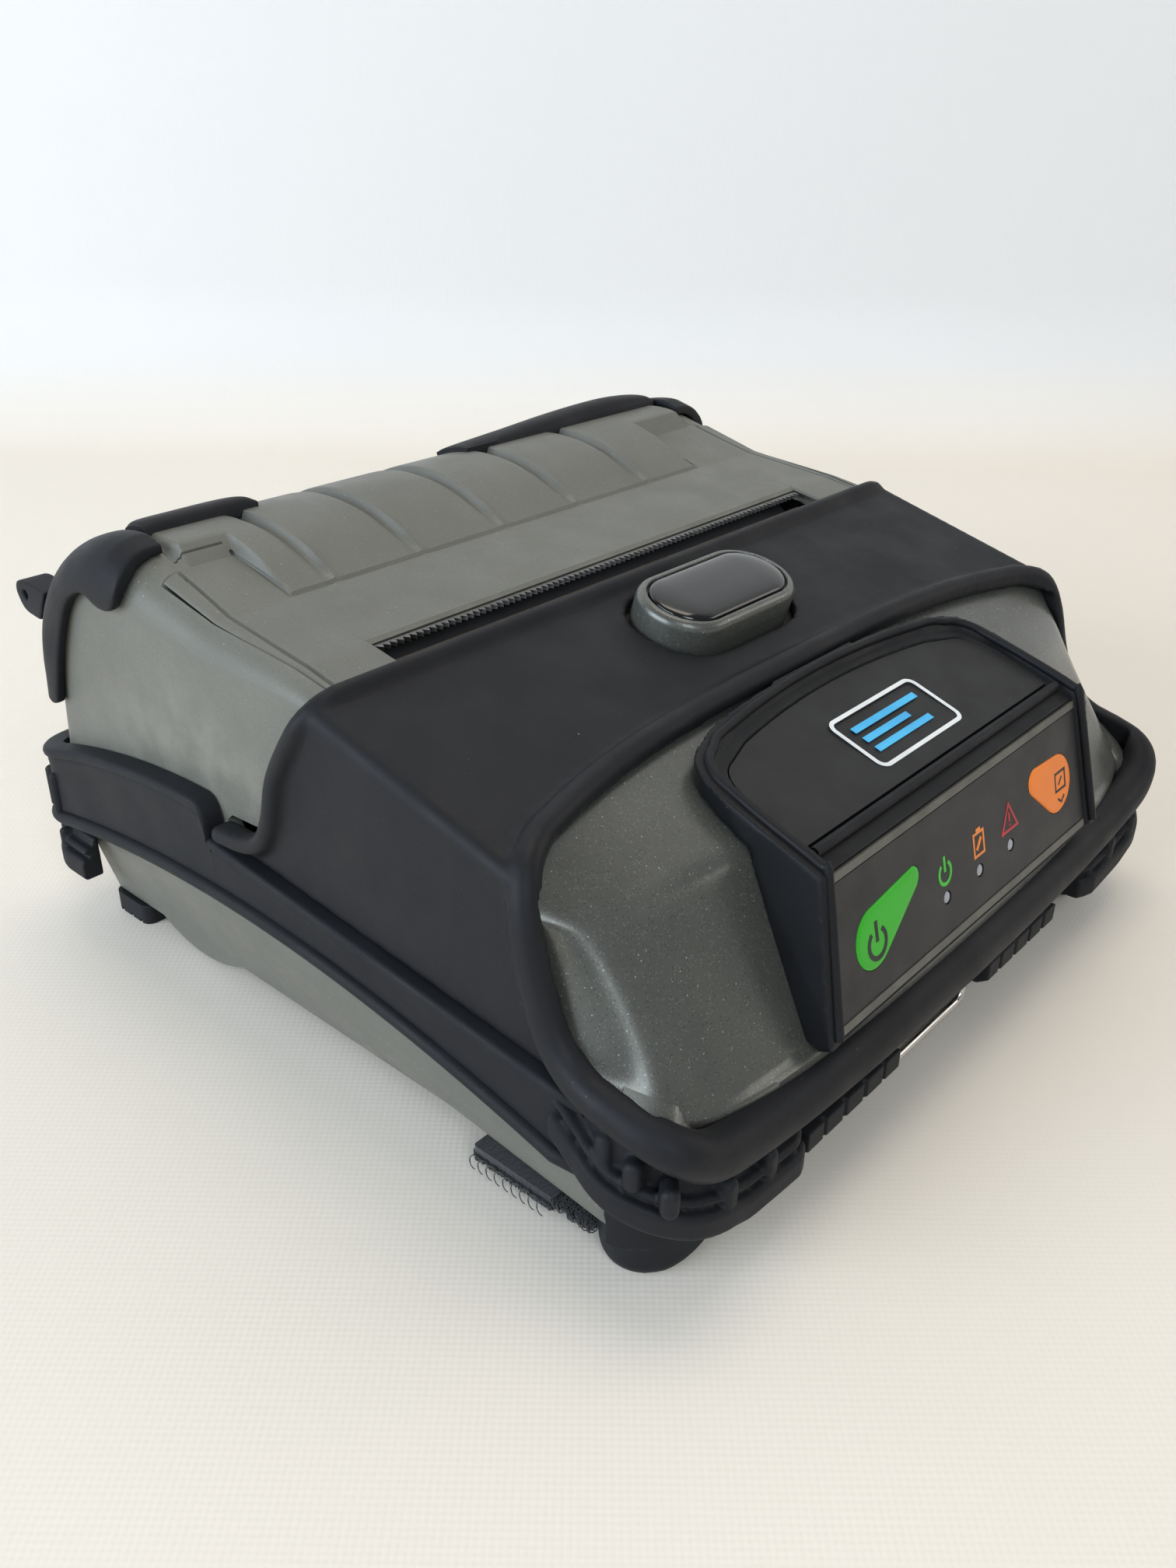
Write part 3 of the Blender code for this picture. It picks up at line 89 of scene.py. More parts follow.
class Surface:
    """A Principled material whose patterns lie in the piece's own space."""

    def __init__(self, name, rough, metallic=0.0, coat=0.0, sheen=0.0):
        self.made = bpy.data.materials.new(name)
        self.made.use_nodes = True
        self.tree = self.made.node_tree
        self.shader = self.tree.nodes["Principled BSDF"]
        self.shader.inputs["Roughness"].default_value = rough
        self.shader.inputs["Metallic"].default_value = metallic
        self.shader.inputs["Coat Weight"].default_value = coat
        self.shader.inputs["Coat Roughness"].default_value = 0.16
        self.shader.inputs["Sheen Weight"].default_value = sheen
        self.place = self.tree.nodes.new("ShaderNodeTexCoord").outputs["Object"]
        self.colour = None
        self.height = None

    def node(self, kind, **settings):
        made = self.tree.nodes.new(kind)
        for key, value in settings.items():
            setattr(made, key, value)
        return made

    def join(self, start, end):
        self.tree.links.new(start, end)

    def noise(self, scale, detail=2.0, stretch=None):
        made = self.node("ShaderNodeTexNoise")
        made.inputs["Scale"].default_value = scale
        made.inputs["Detail"].default_value = detail
        self.join(self.stretched(stretch), made.inputs["Vector"])
        return made.outputs["Fac"]

    def stretched(self, stretch):
        if stretch is None:
            return self.place
        mapping = self.node("ShaderNodeMapping")
        mapping.inputs["Scale"].default_value = stretch
        self.join(self.place, mapping.inputs["Vector"])
        return mapping.outputs["Vector"]

    def remap(self, value, low, high, to_low=0.0, to_high=1.0):
        made = self.node("ShaderNodeMapRange")
        self.join(value, made.inputs["Value"])
        for key, number in zip(("From Min", "From Max", "To Min", "To Max"), (low, high, to_low, to_high)):
            made.inputs[key].default_value = number
        return made.outputs["Result"]

    def times(self, first, second):
        made = self.node("ShaderNodeMath", operation="MULTIPLY")
        for slot, value in enumerate((first, second)):
            if isinstance(value, float):
                made.inputs[slot].default_value = value
            else:
                self.join(value, made.inputs[slot])
        return made.outputs[0]

    def tint(self, share, colour):
        """Mixes a colour over what is there, by a share that varies over the surface."""
        made = self.node("ShaderNodeMix", data_type="RGBA")
        self.join(share, made.inputs["Factor"])
        self.join(self.colour, made.inputs["A"])
        made.inputs["B"].default_value = (*colour, 1.0)
        self.colour = made.outputs["Result"]

    def blotches(self, colour, spread, scale=45.0):
        """The base colour, a little darker and lighter in soft blotches."""
        made = self.node("ShaderNodeMix", data_type="RGBA")
        self.join(self.remap(self.noise(scale, 4.0), 0.32, 0.68), made.inputs["Factor"])
        made.inputs["A"].default_value = (*[c * (1 - spread) for c in colour], 1.0)
        made.inputs["B"].default_value = (*[min(1.0, c * (1 + spread)) for c in colour], 1.0)
        self.colour = made.outputs["Result"]

    def flecks(self, colour, scale, share, strength=1.0, radius=0.45):
        """Small dots: each cell of a Voronoi pattern has one with a chance of share."""
        cells = self.node("ShaderNodeTexVoronoi")
        cells.inputs["Scale"].default_value = scale
        self.join(self.place, cells.inputs["Vector"])
        split = self.node("ShaderNodeSeparateColor")
        self.join(cells.outputs["Color"], split.inputs["Color"])
        chosen = self.remap(split.outputs["Red"], 1.0 - share, 1.0 - share + 0.02)
        dot = self.remap(cells.outputs["Distance"], radius, radius * 0.5)
        self.tint(self.times(self.times(chosen, dot), strength), colour)

    def worn(self, colour, strength):
        """Rubbed edges: lighter where the surface is convex, broken up by noise."""
        edge = self.remap(self.node("ShaderNodeNewGeometry").outputs["Pointiness"], 0.53, 0.62)
        patches = self.remap(self.noise(160.0, 5.0), 0.35, 0.62)
        self.tint(self.times(self.times(edge, patches), strength), colour)

    def dust_and_crease_shade(self, colour, strength):
        """Tints the concave creases: a paler colour there is settled dust, a darker one is painted shade."""
        crease = self.remap(self.node("ShaderNodeNewGeometry").outputs["Pointiness"], 0.49, 0.42)
        self.tint(self.times(crease, strength), colour)

    def roughen(self, low, high, scale=120.0):
        self.join(self.remap(self.noise(scale, 5.0), 0.3, 0.7, low, high), self.shader.inputs["Roughness"])

    def bump(self, pattern, depth):
        """Bump of a depth in millimetres, on top of what is there."""
        made = self.node("ShaderNodeBump")
        made.inputs["Strength"].default_value = 1.0
        made.inputs["Distance"].default_value = depth * MM
        self.join(pattern, made.inputs["Height"])
        if self.height is not None:
            self.join(self.height, made.inputs["Normal"])
        self.height = made.outputs["Normal"]

    def grain(self, scale, depth, detail=2.0, stretch=None):
        self.bump(self.noise(scale, detail, stretch), depth)

    def waves(self, axis, scale, depth, distortion):
        """Regular ribs across an axis, as bump."""
        made = self.node("ShaderNodeTexWave", wave_type="BANDS", bands_direction=axis)
        made.inputs["Scale"].default_value = scale
        made.inputs["Distortion"].default_value = distortion
        self.join(self.place, made.inputs["Vector"])
        self.bump(made.outputs["Fac"], depth)

    def done(self):
        self.join(self.colour, self.shader.inputs["Base Color"])
        if self.height is not None:
            self.join(self.height, self.shader.inputs["Normal"])
        return self.made


def painted(name, colour, rough, sparkle, metallic=0.0, coat=0.0):
    """Moulded plastic under a thin metallic paint."""
    look = Surface(name, rough, metallic, coat)
    look.blotches(colour, 0.06)
    look.flecks([c * 2.2 for c in colour], 3600.0, 0.2, 0.5 * sparkle)
    look.flecks([c * 0.4 for c in colour], 3100.0, 0.2, 0.5 * sparkle)
    look.flecks((0.5, 0.52, 0.55), 2300.0, 0.03 * sparkle, 0.8, 0.3)
    look.dust_and_crease_shade((0.16, 0.15, 0.13), 0.35)
    look.worn([c * 1.7 for c in colour], 0.5)
    look.flecks((0.45, 0.44, 0.42), 380.0, 0.035, 0.6, 0.05)
    look.roughen(rough - 0.06, rough + 0.08)
    look.grain(2600.0, 0.012)
    look.grain(260.0, 0.02)
    return look.done()


def rubbery(name, colour, rough, dust=0.04, depth=0.02):
    """Matte overmoulded rubber with lint, dull scuffs and a fine grain."""
    look = Surface(name, rough)
    look.shader.inputs["Specular IOR Level"].default_value = 0.27
    look.blotches(colour, 0.14)
    look.worn([c * 2.2 + 0.002 for c in colour], 0.4)
    # painted shade: the rubber is darkened to half its colour in its concave creases
    look.dust_and_crease_shade([c * 0.5 for c in colour], 0.4)
    scuffs = look.remap(look.noise(30.0, 6.0, (1.0, 3.0, 1.0)), 0.58, 0.74)
    look.tint(look.times(scuffs, 0.3), [c * 1.6 + 0.001 for c in colour])
    look.flecks((0.35, 0.35, 0.35), 420.0, dust, 0.8, 0.07)
    look.flecks((0.16, 0.16, 0.16), 1100.0, dust, 0.5, 0.14)
    look.roughen(rough - 0.08, rough + 0.08, 90.0)
    look.grain(1500.0, depth)
    look.grain(320.0, depth)
    return look.done()


def metal(name, colour, rough, brushed):
    """Steel or aluminium, brushed along one axis."""
    look = Surface(name, rough, 1.0)
    look.blotches(colour, 0.1, 80.0)
    # painted shade: the metal is darkened to a third of its colour in its concave creases
    look.dust_and_crease_shade([c * 0.3 for c in colour], 0.6)
    look.worn([min(1.0, c * 1.25) for c in colour], 0.5)
    look.roughen(rough * 0.7, rough * 1.5, 200.0)
    look.grain(900.0, 0.006, 3.0, brushed)
    return look.done()


def plain(name, colour, rough, depth=0.01, scale=1200.0, spread=0.08, coat=0.0):
    """Moulded or printed material with a fine grain, mottling and rubbed edges."""
    look = Surface(name, rough, 0.0, coat)
    look.shader.inputs["Specular IOR Level"].default_value = 0.32
    look.blotches(colour, spread)
    look.worn([min(1.0, c * 1.5 + 0.01) for c in colour], 0.4)
    # painted shade: the material is darkened to half its colour in its concave creases
    look.dust_and_crease_shade([c * 0.5 for c in colour], 0.5)
    look.roughen(max(0.03, rough - 0.05), rough + 0.06)
    look.grain(scale, depth)
    return look.done()


def board_look():
    """Green solder mask with copper tracks under it and pale pads."""
    look = Surface("circuit_board", 0.35, 0.0, 0.3)
    look.blotches((0.012, 0.11, 0.04), 0.12)
    bricks = look.node("ShaderNodeTexBrick")
    bricks.inputs["Scale"].default_value = 210.0
    bricks.inputs["Mortar Size"].default_value = 0.03
    look.join(look.place, bricks.inputs["Vector"])
    look.tint(look.times(bricks.outputs["Fac"], 0.7), (0.03, 0.24, 0.08))
    look.flecks((0.7, 0.6, 0.3), 420.0, 0.18, 0.9, 0.24)
    look.roughen(0.28, 0.45)
    look.grain(500.0, 0.02)
    return look.done()


def paper_look():
    """Wound label stock: fine rings on the ends and faint label gaps round the outside."""
    look = Surface("label_stock", 0.65)
    look.blotches((0.8, 0.79, 0.76), 0.03)
    moved = look.node("ShaderNodeMapping")
    moved.inputs["Location"].default_value = (0.0, -ROLL_Y * MM, -ROLL_Z * MM)
    look.join(look.place, moved.inputs["Vector"])
    rings = look.node("ShaderNodeTexWave", wave_type="RINGS", rings_direction="X")
    rings.inputs["Scale"].default_value = 900.0
    rings.inputs["Distortion"].default_value = 0.4
    look.join(moved.outputs["Vector"], rings.inputs["Vector"])
    look.tint(look.times(look.remap(rings.outputs["Fac"], 0.6, 1.0), 0.25), (0.5, 0.47, 0.42))
    look.roughen(0.55, 0.75)
    look.grain(1800.0, 0.01)
    return look.done()


def pile_look():
    """Dark nylon hooks and loops."""
    look = Surface("hook_fabric", 0.7, sheen=0.4)
    look.blotches((0.008, 0.0085, 0.012), 0.3, 300.0)
    look.flecks((0.03, 0.03, 0.036), 2400.0, 0.4, 0.8)
    look.roughen(0.6, 0.85, 400.0)
    look.grain(1600.0, 0.12)
    return look.done()


GREY = painted("grey_case", (0.132, 0.131, 0.112), 0.46, 0.6)
METALLIC = painted("grey_metallic", (0.101, 0.104, 0.093), 0.3, 1.5, 0.4, 0.3)
STRIP_GREY = painted("grey_pod_strip", (0.085, 0.082, 0.07), 0.5, 0.8)
RUBBER = rubbery("black_rubber", (0.0074, 0.0079, 0.0104), 0.58)
DEEP_RUBBER = rubbery("black_rubber_low", (0.0086, 0.0094, 0.0122), 0.62, 0.02)
POD = rubbery("pod_black", (0.0042, 0.0048, 0.0066), 0.56, 0.03, 0.012)
PLASTIC = plain("black_plastic", (0.014, 0.014, 0.016), 0.42)
FILM = plain("overlay_film", (0.0165, 0.0165, 0.018), 0.46, 0.02, 2600.0, 0.12)
PLATE = plain("name_film", (0.0095, 0.0095, 0.0105), 0.5, 0.022, 2400.0, 0.14)
DOME = plain("gloss_dome", (0.0012, 0.0012, 0.002), 0.05, 0.002, 400.0, 0.1, 0.6)
GREEN = plain("green_key", (0.035, 0.43, 0.02), 0.4, 0.015, 2200.0, 0.07)
GREEN_INK = plain("green_ink", (0.05, 0.42, 0.04), 0.45, 0.01, 2200.0, 0.07)
ORANGE = plain("orange_key", (0.9, 0.23, 0.03), 0.4, 0.015, 2200.0, 0.07)
ORANGE_INK = plain("orange_ink", (0.75, 0.22, 0.04), 0.45, 0.01, 2200.0, 0.07)
RED_INK = plain("red_ink", (0.4, 0.03, 0.035), 0.45, 0.01, 2200.0, 0.07)
DARK_INK = plain("dark_ink", (0.02, 0.022, 0.02), 0.5, 0.01, 2200.0, 0.07)
WHITE_INK = plain("white_ink", (0.75, 0.77, 0.78), 0.45, 0.01, 2200.0, 0.04)
BLUE_INK = plain("blue_ink", (0.06, 0.42, 0.78), 0.45, 0.01, 2200.0, 0.06)
LED = plain("led_window", (0.36, 0.36, 0.4), 0.25, 0.004, 900.0, 0.06)
STEEL = metal("steel", (0.56, 0.55, 0.53), 0.24, (1.0, 12.0, 12.0))
DARK_STEEL = metal("tear_bar_steel", (0.17, 0.165, 0.155), 0.36, (1.0, 12.0, 12.0))
ALUMINIUM = metal("aluminium", (0.6, 0.61, 0.63), 0.33, (1.0, 14.0, 14.0))
CERAMIC = plain("head_ceramic", (0.16, 0.13, 0.1), 0.25, 0.004, 500.0, 0.04)
ACETAL = plain("acetal", (0.72, 0.7, 0.63), 0.38, 0.008, 700.0, 0.05)
CARD = plain("card_core", (0.38, 0.26, 0.15), 0.8, 0.05, 500.0, 0.14)
CELL = plain("battery_wrap", (0.02, 0.05, 0.13), 0.32, 0.01, 300.0, 0.08)
PLATEN = rubbery("platen_rubber", (0.03, 0.03, 0.032), 0.7, 0.0, 0.015)
BOARD = board_look()
PAPER = paper_look()
PILE = pile_look()


# --- mesh helpers ---------------------------------------------------------------------------


def add_object(name, data):
    made = bpy.data.objects.new(name, data)
    bpy.context.scene.collection.objects.link(made)
    return made


def shade(mesh, degrees):
    """Smooth shading, apart from the edges that turn by more than an angle."""
    mesh.shade_smooth()
    mesh.set_sharp_from_angle(angle=math.radians(degrees))


def mesh_piece(name, points, faces, smooth=40.0):
    """One object from points in millimetres, with its faces turned outwards."""
    mesh = bpy.data.meshes.new(name)
    mesh.from_pydata([tuple(float(c) * MM for c in p) for p in points], [], faces)
    work = bmesh.new()
    work.from_mesh(mesh)
    bmesh.ops.remove_doubles(work, verts=work.verts, dist=1e-7)
    bmesh.ops.recalc_face_normals(work, faces=work.faces)
    work.to_mesh(mesh)
    work.free()
    shade(mesh, smooth)
    return add_object(name, mesh)


def loft(name, rings, closed=False, smooth=40.0):
    """A skin over rings of equal length, capped at both ends unless it closes on itself."""
    size = len(rings[0])
    points = [p for ring in rings for p in ring]
    faces = []
    for row in range(len(rings) if closed else len(rings) - 1):
        here, there = row * size, ((row + 1) % len(rings)) * size
        for i in range(size):
            j = (i + 1) % size
            faces.append((here + i, here + j, there + j, there + i))
    if not closed:
        faces.append(tuple(range(size)))
        faces.append(tuple(range(len(points) - size, len(points))))
    return mesh_piece(name, points, faces, smooth)


def prism(name, axis, outline, low, high, smooth=40.0):
    """An outline pushed along X, Y or Z: its pairs are (y, z), (x, z) or (x, y)."""
    place = {
        "X": lambda u, v, w: (w, u, v),
        "Y": lambda u, v, w: (u, w, v),
        "Z": lambda u, v, w: (u, v, w),
    }[axis]
    return loft(name, [[place(u, v, w) for u, v in outline] for w in (low, high)], smooth=smooth)


def box(name, low, high):
    outline = [(low[0], low[1]), (high[0], low[1]), (high[0], high[1]), (low[0], high[1])]
    return prism(name, "Z", outline, low[2], high[2])


def arc(u, v, radius, start, stop, steps=24):
    """Points on a circle, from one angle to another in degrees."""
    angles = np.radians(np.linspace(start, stop, steps + 1))
    return [(u + radius * math.cos(a), v + radius * math.sin(a)) for a in angles]


def circle(u, v, radius, sides):
    return arc(u, v, radius, 0, 360, sides)[:-1]


def rod(name, axis, u, v, radius, low, high, sides=48):
    return prism(name, axis, circle(u, v, radius, sides), low, high)


def rounded(half_u, half_v, radius, steps=8, centre=(0.0, 0.0)):
    """A rectangle with round corners, counter-clockwise."""
    outline = []
    for turn, (su, sv) in enumerate(((1, 1), (-1, 1), (-1, -1), (1, -1))):
        for i in range(steps + 1):
            angle = math.pi / 2 * (turn + i / steps)
            u = centre[0] + su * (half_u - radius) + radius * math.cos(angle)
            v = centre[1] + sv * (half_v - radius) + radius * math.sin(angle)
            outline.append((u, v))
    return outline


def ease(value):
    value = min(1.0, max(0.0, value))
    return value * value * (3 - 2 * value)


def curve_through(points, per):
    """A smooth curve through points of any dimension, with per steps between neighbours."""
    known = np.array(points, float)
    known = np.vstack([2 * known[0] - known[1], known, 2 * known[-1] - known[-2]])
    found = []
    for i in range(1, len(known) - 2):
        before, here, there, after = known[i - 1 : i + 3]
        for k in range(per):
            t = k / per
            found.append(
                0.5
                * (
                    2 * here
                    + (there - before) * t
                    + (2 * before - 5 * here + 4 * there - after) * t * t
                    + (3 * here - before - 3 * there + after) * t**3
                )
            )
    found.append(known[-2])
    return np.array(found)


def tube(name, path, radii, sides=16, closed=False, round_ends=False):
    """A round section swept along a path, with a radius at each point."""
    path = [Vector(p) for p in path]
    radii = list(radii)
    if round_ends:
        first, last = (path[0] - path[1]).normalized(), (path[-1] - path[-2]).normalized()
        start, stop, radius, end_radius = path[0], path[-1], radii[0], radii[-1]
        for share, width in ((0.5, 0.866), (0.8, 0.6), (0.95, 0.31), (1.0, 0.05)):
            path = [start + first * radius * share, *path, stop + last * end_radius * share]
            radii = [radius * width, *radii, end_radius * width]
    count = len(path)
    rings = []
    side = Vector((0.0, 0.0, 1.0))
    for i, here in enumerate(path):
        before = path[(i - 1) % count] if closed or i else here
        after = path[(i + 1) % count] if closed or i < count - 1 else here
        along = (after - before).normalized()
        side = side - along * side.dot(along)
        if side.length < 1e-3:
            side = along.orthogonal()
        side.normalize()
        other = along.cross(side)
        rings.append([here + (side * u + other * v) * radii[i] for u, v in circle(0, 0, 1.0, sides)])
    return loft(name, rings, closed=closed, smooth=60)


def settle(made):
    """Turns an object's modifiers into its mesh."""
    graph = bpy.context.evaluated_depsgraph_get()
    mesh = bpy.data.meshes.new_from_object(made.evaluated_get(graph))
    made.modifiers.clear()
    made.data = mesh
    return made


def combine(made, operation, tools):
    """Booleans with helper solids, which are then removed."""
    for tool in tools:
        mod = made.modifiers.new("shape", "BOOLEAN")
        mod.operation = operation
        mod.object = tool
    settle(made)
    made.data.set_sharp_from_angle(angle=math.radians(40))
    for tool in tools:
        bpy.data.objects.remove(tool)
    return made


def cut(made, *tools):
    return combine(made, "DIFFERENCE", tools)


def fuse(made, *tools):
    return combine(made, "UNION", tools)


def keep(made, region):
    return combine(made, "INTERSECT", [region])


def melt(made, voxel, rounds):
    """Remeshes a solid and smooths it, so that every edge takes a small fillet."""
    mod = made.modifiers.new("voxels", "REMESH")
    mod.mode = "VOXEL"
    mod.voxel_size = voxel * MM
    mod.use_smooth_shade = True
    soft = made.modifiers.new("soft", "SMOOTH")
    soft.factor = 0.5
    soft.iterations = rounds
    settle(made)
    made.data.shade_smooth()
    return made


def soften(made, width, segments=2, angle=35):
    """A bevel on the sharp edges, kept as a modifier."""
    mod = made.modifiers.new("edges", "BEVEL")
    mod.width = width * MM
    mod.segments = segments
    mod.limit_method = "ANGLE"
    mod.angle_limit = math.radians(angle)
    return made


def merge(name, parts):
    """Several separate closed shells as one object."""
    work = bmesh.new()
    for part in parts:
        work.from_mesh(part.data)
    mesh = bpy.data.meshes.new(name)
    work.to_mesh(mesh)
    work.free()
    for part in parts:
        bpy.data.objects.remove(part)
    shade(mesh, 40)
    return add_object(name, mesh)


def dress(made, body, finish, slot, *replaced):
    """Gives a piece its finish, its body and the CAD nodes it stands for."""
    made.data.materials.clear()
    made.data.materials.append(finish)
    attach(made, body)
    if replaced:
        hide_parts(*replaced)
    return made


# --- shared outer forms ---------------------------------------------------------------------


def band_top(y):
    return BAND_REF[1] + BAND_SLOPE * (y - BAND_REF[0])


def arch_y(x):
    """Front edge of the band's top: an arch that is deepest at the sides."""
    return -37.5 - 9.0 * (abs(x) / 76.5) ** 3.3


def seam_line(y):
    """Height of the slit between band and skirt along the sides."""
    return 31.5 + 0.099 * (y + 58.0)


def skirt_low(y):
    return 27.5 - 0.0018 * (y - 16.0) ** 2


def skirt_high(y):
    """Top of the skirt: under the band's seam in front, raised with a round end behind it."""
    low = seam_line(y) - GAP
    if y < 20.0:
        return low
    raised = 45.0 - 0.0031 * (y - 22.0) ** 2
    return low + (raised - low) * math.sqrt(max(0.0, 1.0 - max(0.0, (23.2 - y) / 3.2) ** 2))


def roof(front, floor, steps=30):
    """The case's side outline as (y, z, outward y, outward z), from front floor to rear floor."""
    points = [(front, floor, 0.0, 0.0)]
    line = [(front, 70.0 + 0.18 * (front + 5.0))]
    line += [p for p in ((2.0, 71.2), (21.8, 73.2), (36.5, 76.9)) if p[0] > front]
    for (y0, z0), (y1, z1) in zip(line, line[1:]):
        for i in range(6):
            t = i / 6
            points.append((y0 + (y1 - y0) * t, z0 + (z1 - z0) * t, -0.1, 1.0))
    points.append((36.5, 76.9, -0.1, 1.0))
    for i in range(steps):
        angle = math.radians(88 - i * 86 / (steps - 1))
        c, s = math.cos(angle), math.sin(angle)
        points.append((BULGE_Y + BULGE_R * c, BULGE_Z + BULGE_R * s - 0.6 * s, c, s))
    points.append((REAR_Y, floor, 1.0, 0.0))
    return points


def pillow(name, outline, grow, half, shoulder, steps=8):
    """A side outline carried across the case, with its upper edges rounded into the side walls."""
    rings = []
    for side in (-1, 1):
        for k in range(steps + 1) if side > 0 else range(steps, -1, -1):
            angle = math.pi / 2 * k / steps
            ring = []
            for y, z, ny, nz in outline:
                radius = shoulder(y) if (ny or nz) else 0.0
                inset = grow - radius * (1 - math.cos(angle))
                reach = half - radius + radius * math.sin(angle) if k < steps else half
                ring.append((side * reach, y + ny * inset, z + nz * inset))
            rings.append(ring)
    return loft(name, rings)


def case_shoulder(y):
    """Edge radius of the grey case: tight by the band, generous at the rear."""
    return 3.2 + 5.0 * min(1.0, max(0.0, (y + 5.0) / 50.0))


def widen(outline, amount):
    """An outline pushed out by an amount, with mitred corners."""
    area = sum(a[0] * b[1] - b[0] * a[1] for a, b in zip(outline, outline[1:] + outline[:1]))
    turn = 1.0 if area > 0 else -1.0
    grown = []
    for i, here in enumerate(outline):
        before = Vector(here) - Vector(outline[i - 1])
        after = Vector(outline[(i + 1) % len(outline)]) - Vector(here)
        first = Vector((before.y, -before.x)).normalized() * turn
        second = Vector((after.y, -after.x)).normalized() * turn
        middle = (first + second).normalized()
        grown.append(tuple(Vector(here) + middle * amount / max(0.4, middle.dot(first))))
    return grown


def band_side_region():
    """What the band covers, seen from the side."""
    hook = [(17.5, seam_line(17.5) + GAP), (18.6, 41.0), (17.5, 42.0)]
    rear = [(11.0, 42.4), (6.6, 44.6), (3.8, 49.0), (1.6, 56.6), (-3.0, 63.5), (-5.9, 68.5)]
    front = [(-47.5, 80.0), (-47.8, 58.0), (-49.2, 51.0), (-51.8, 43.0), (-55.5, 35.5)]
    return [(-60.5, 31.2), *hook, *rear, (-5.9, 80.0), *front]


def plan_outline(half_x, front, rear, corner_front, corner_rear, steps=10):
    """Stations (x, y, outward x, outward y) round the case, finely spaced along the sides."""
    stations = []

    def corner(cx, cy, radius, start):
        for i in range(steps + 1):
            angle = math.radians(start + 90 * i / steps)
            c, s = math.cos(angle), math.sin(angle)
            stations.append((cx + radius * c, cy + radius * s, c, s))

    ys = [-56 + 4 * i for i in range(19)] + [19.4, 20.0, 20.15, 20.5, 21.1, 22.0, 23.2]
    ys += [26 + 4 * i for i in range(11)]
    corner(half_x - corner_rear, rear - corner_rear, corner_rear, 0)
    corner(-half_x + corner_rear, rear - corner_rear, corner_rear, 90)
    stations.extend((-half_x, y, -1.0, 0.0) for y in reversed(ys))
    corner(-half_x + corner_front, front + corner_front, corner_front, 180)
    corner(half_x - corner_front, front + corner_front, corner_front, 270)
    stations.extend((half_x, y, 1.0, 0.0) for y in ys)
    return stations


def panel_point(up, out):
    """(y, z) of a point on the control panel: up from its foot, and out of its face."""
    c, s = math.cos(PANEL_TILT), math.sin(PANEL_TILT)
    return (PANEL_FOOT.y + up * s - out * c, PANEL_FOOT.z + up * c + out * s)


def panel_object(name, outline, low, high):
    """A plate in the panel's own plane: outline pairs are (across, up), low and high are out."""
    return loft(name, [[(u, *panel_point(v, out)) for u, v in outline] for out in (low, high)])


# --- lower housing and its rubber -------------------------------------------------------------


def crease_z(y):
    return 12.8 + 0.1 * y


def tub_form(name, inset, floor, top):
    """The lower housing's closed volume: walls, a rounded crease, a slanted lower edge, a flat base."""
    stations = plan_outline(SIDE_X - inset, FRONT_Y + inset, REAR_Y - inset, 9.0, 6.0)
    section = [(5.0 - 4.0 * (step / 3) * 0.94, step / 3 * 0.94, 0.0) for step in range(4)]
    section += [(0.85, 0.0, 1.0), (0.45, 0.0, 2.6), (0.12, 0.0, 5.5), (0.0, 0.0, 9.5)]
    rings = []
    for pull, share, above in section:
        ring = []
        for x, y, ox, oy in stations:
            crease = max(floor + 1.0, crease_z(y) + inset * 0.4)
            z = floor + (crease - floor) * share if above == 0.0 else crease + above - 0.6
            ring.append((x - pull * ox, y - pull * oy, z))
        rings.append(ring)
    rings.append([(x, y, top) for x, y, ox, oy in stations])
    return loft(name, rings, smooth=32)


def build_tub():
    made = tub_form("bottom_case", 0.0, BASE_Z, SEAM_Z - GAP)
    fuse(made, rod("bulge", "X", ROLL_BULGE_Y, ROLL_BULGE_Z, ROLL_BULGE_R, -70.0, 70.0, 128))
    cut(
        made,
        tub_form("inside", TUB_WALL, BASE_Z + 2.2, 60.0),
        rod("bulge_inside", "X", ROLL_BULGE_Y, ROLL_BULGE_Z, 25.8, -67.8, 67.8, 128),
        box("front_room", (-FAR, -FAR, 17.7), (FAR, -44.0, FAR)),
        prism("band_room", "X", widen(band_side_region(), 0.2), -FAR, FAR),
        box("port_room", (70, PORT_FRONT, 25.6), (80, PORT_REAR, 33.0)),
    )
    shade(made.data, 32)
    soften(made, 0.35, 2, 50)
    dress(made, "case", GREY, "grey_case", "bottom_housing")


def rounded_profile(thick, bead, low, high):
    """The skirt's section from the wall outwards: a fat bead below and a slim one above."""
    section = [(0.0, low), *arc(bead - 1.3, low + 1.3, 1.3, -90, 90, 8)]
    section += [(thick + 0.12, low + 3.0), (thick, low + 3.6), (thick, high - 3.4), (thick + 0.1, high - 2.9)]
    for i in range(7):
        angle = math.pi * (i / 6 - 0.5)
        section.append((bead - 1.5 + 0.9 * math.cos(angle), high - 1.1 + 1.0 * math.sin(angle)))
    section.append((0.0, high))
    return section


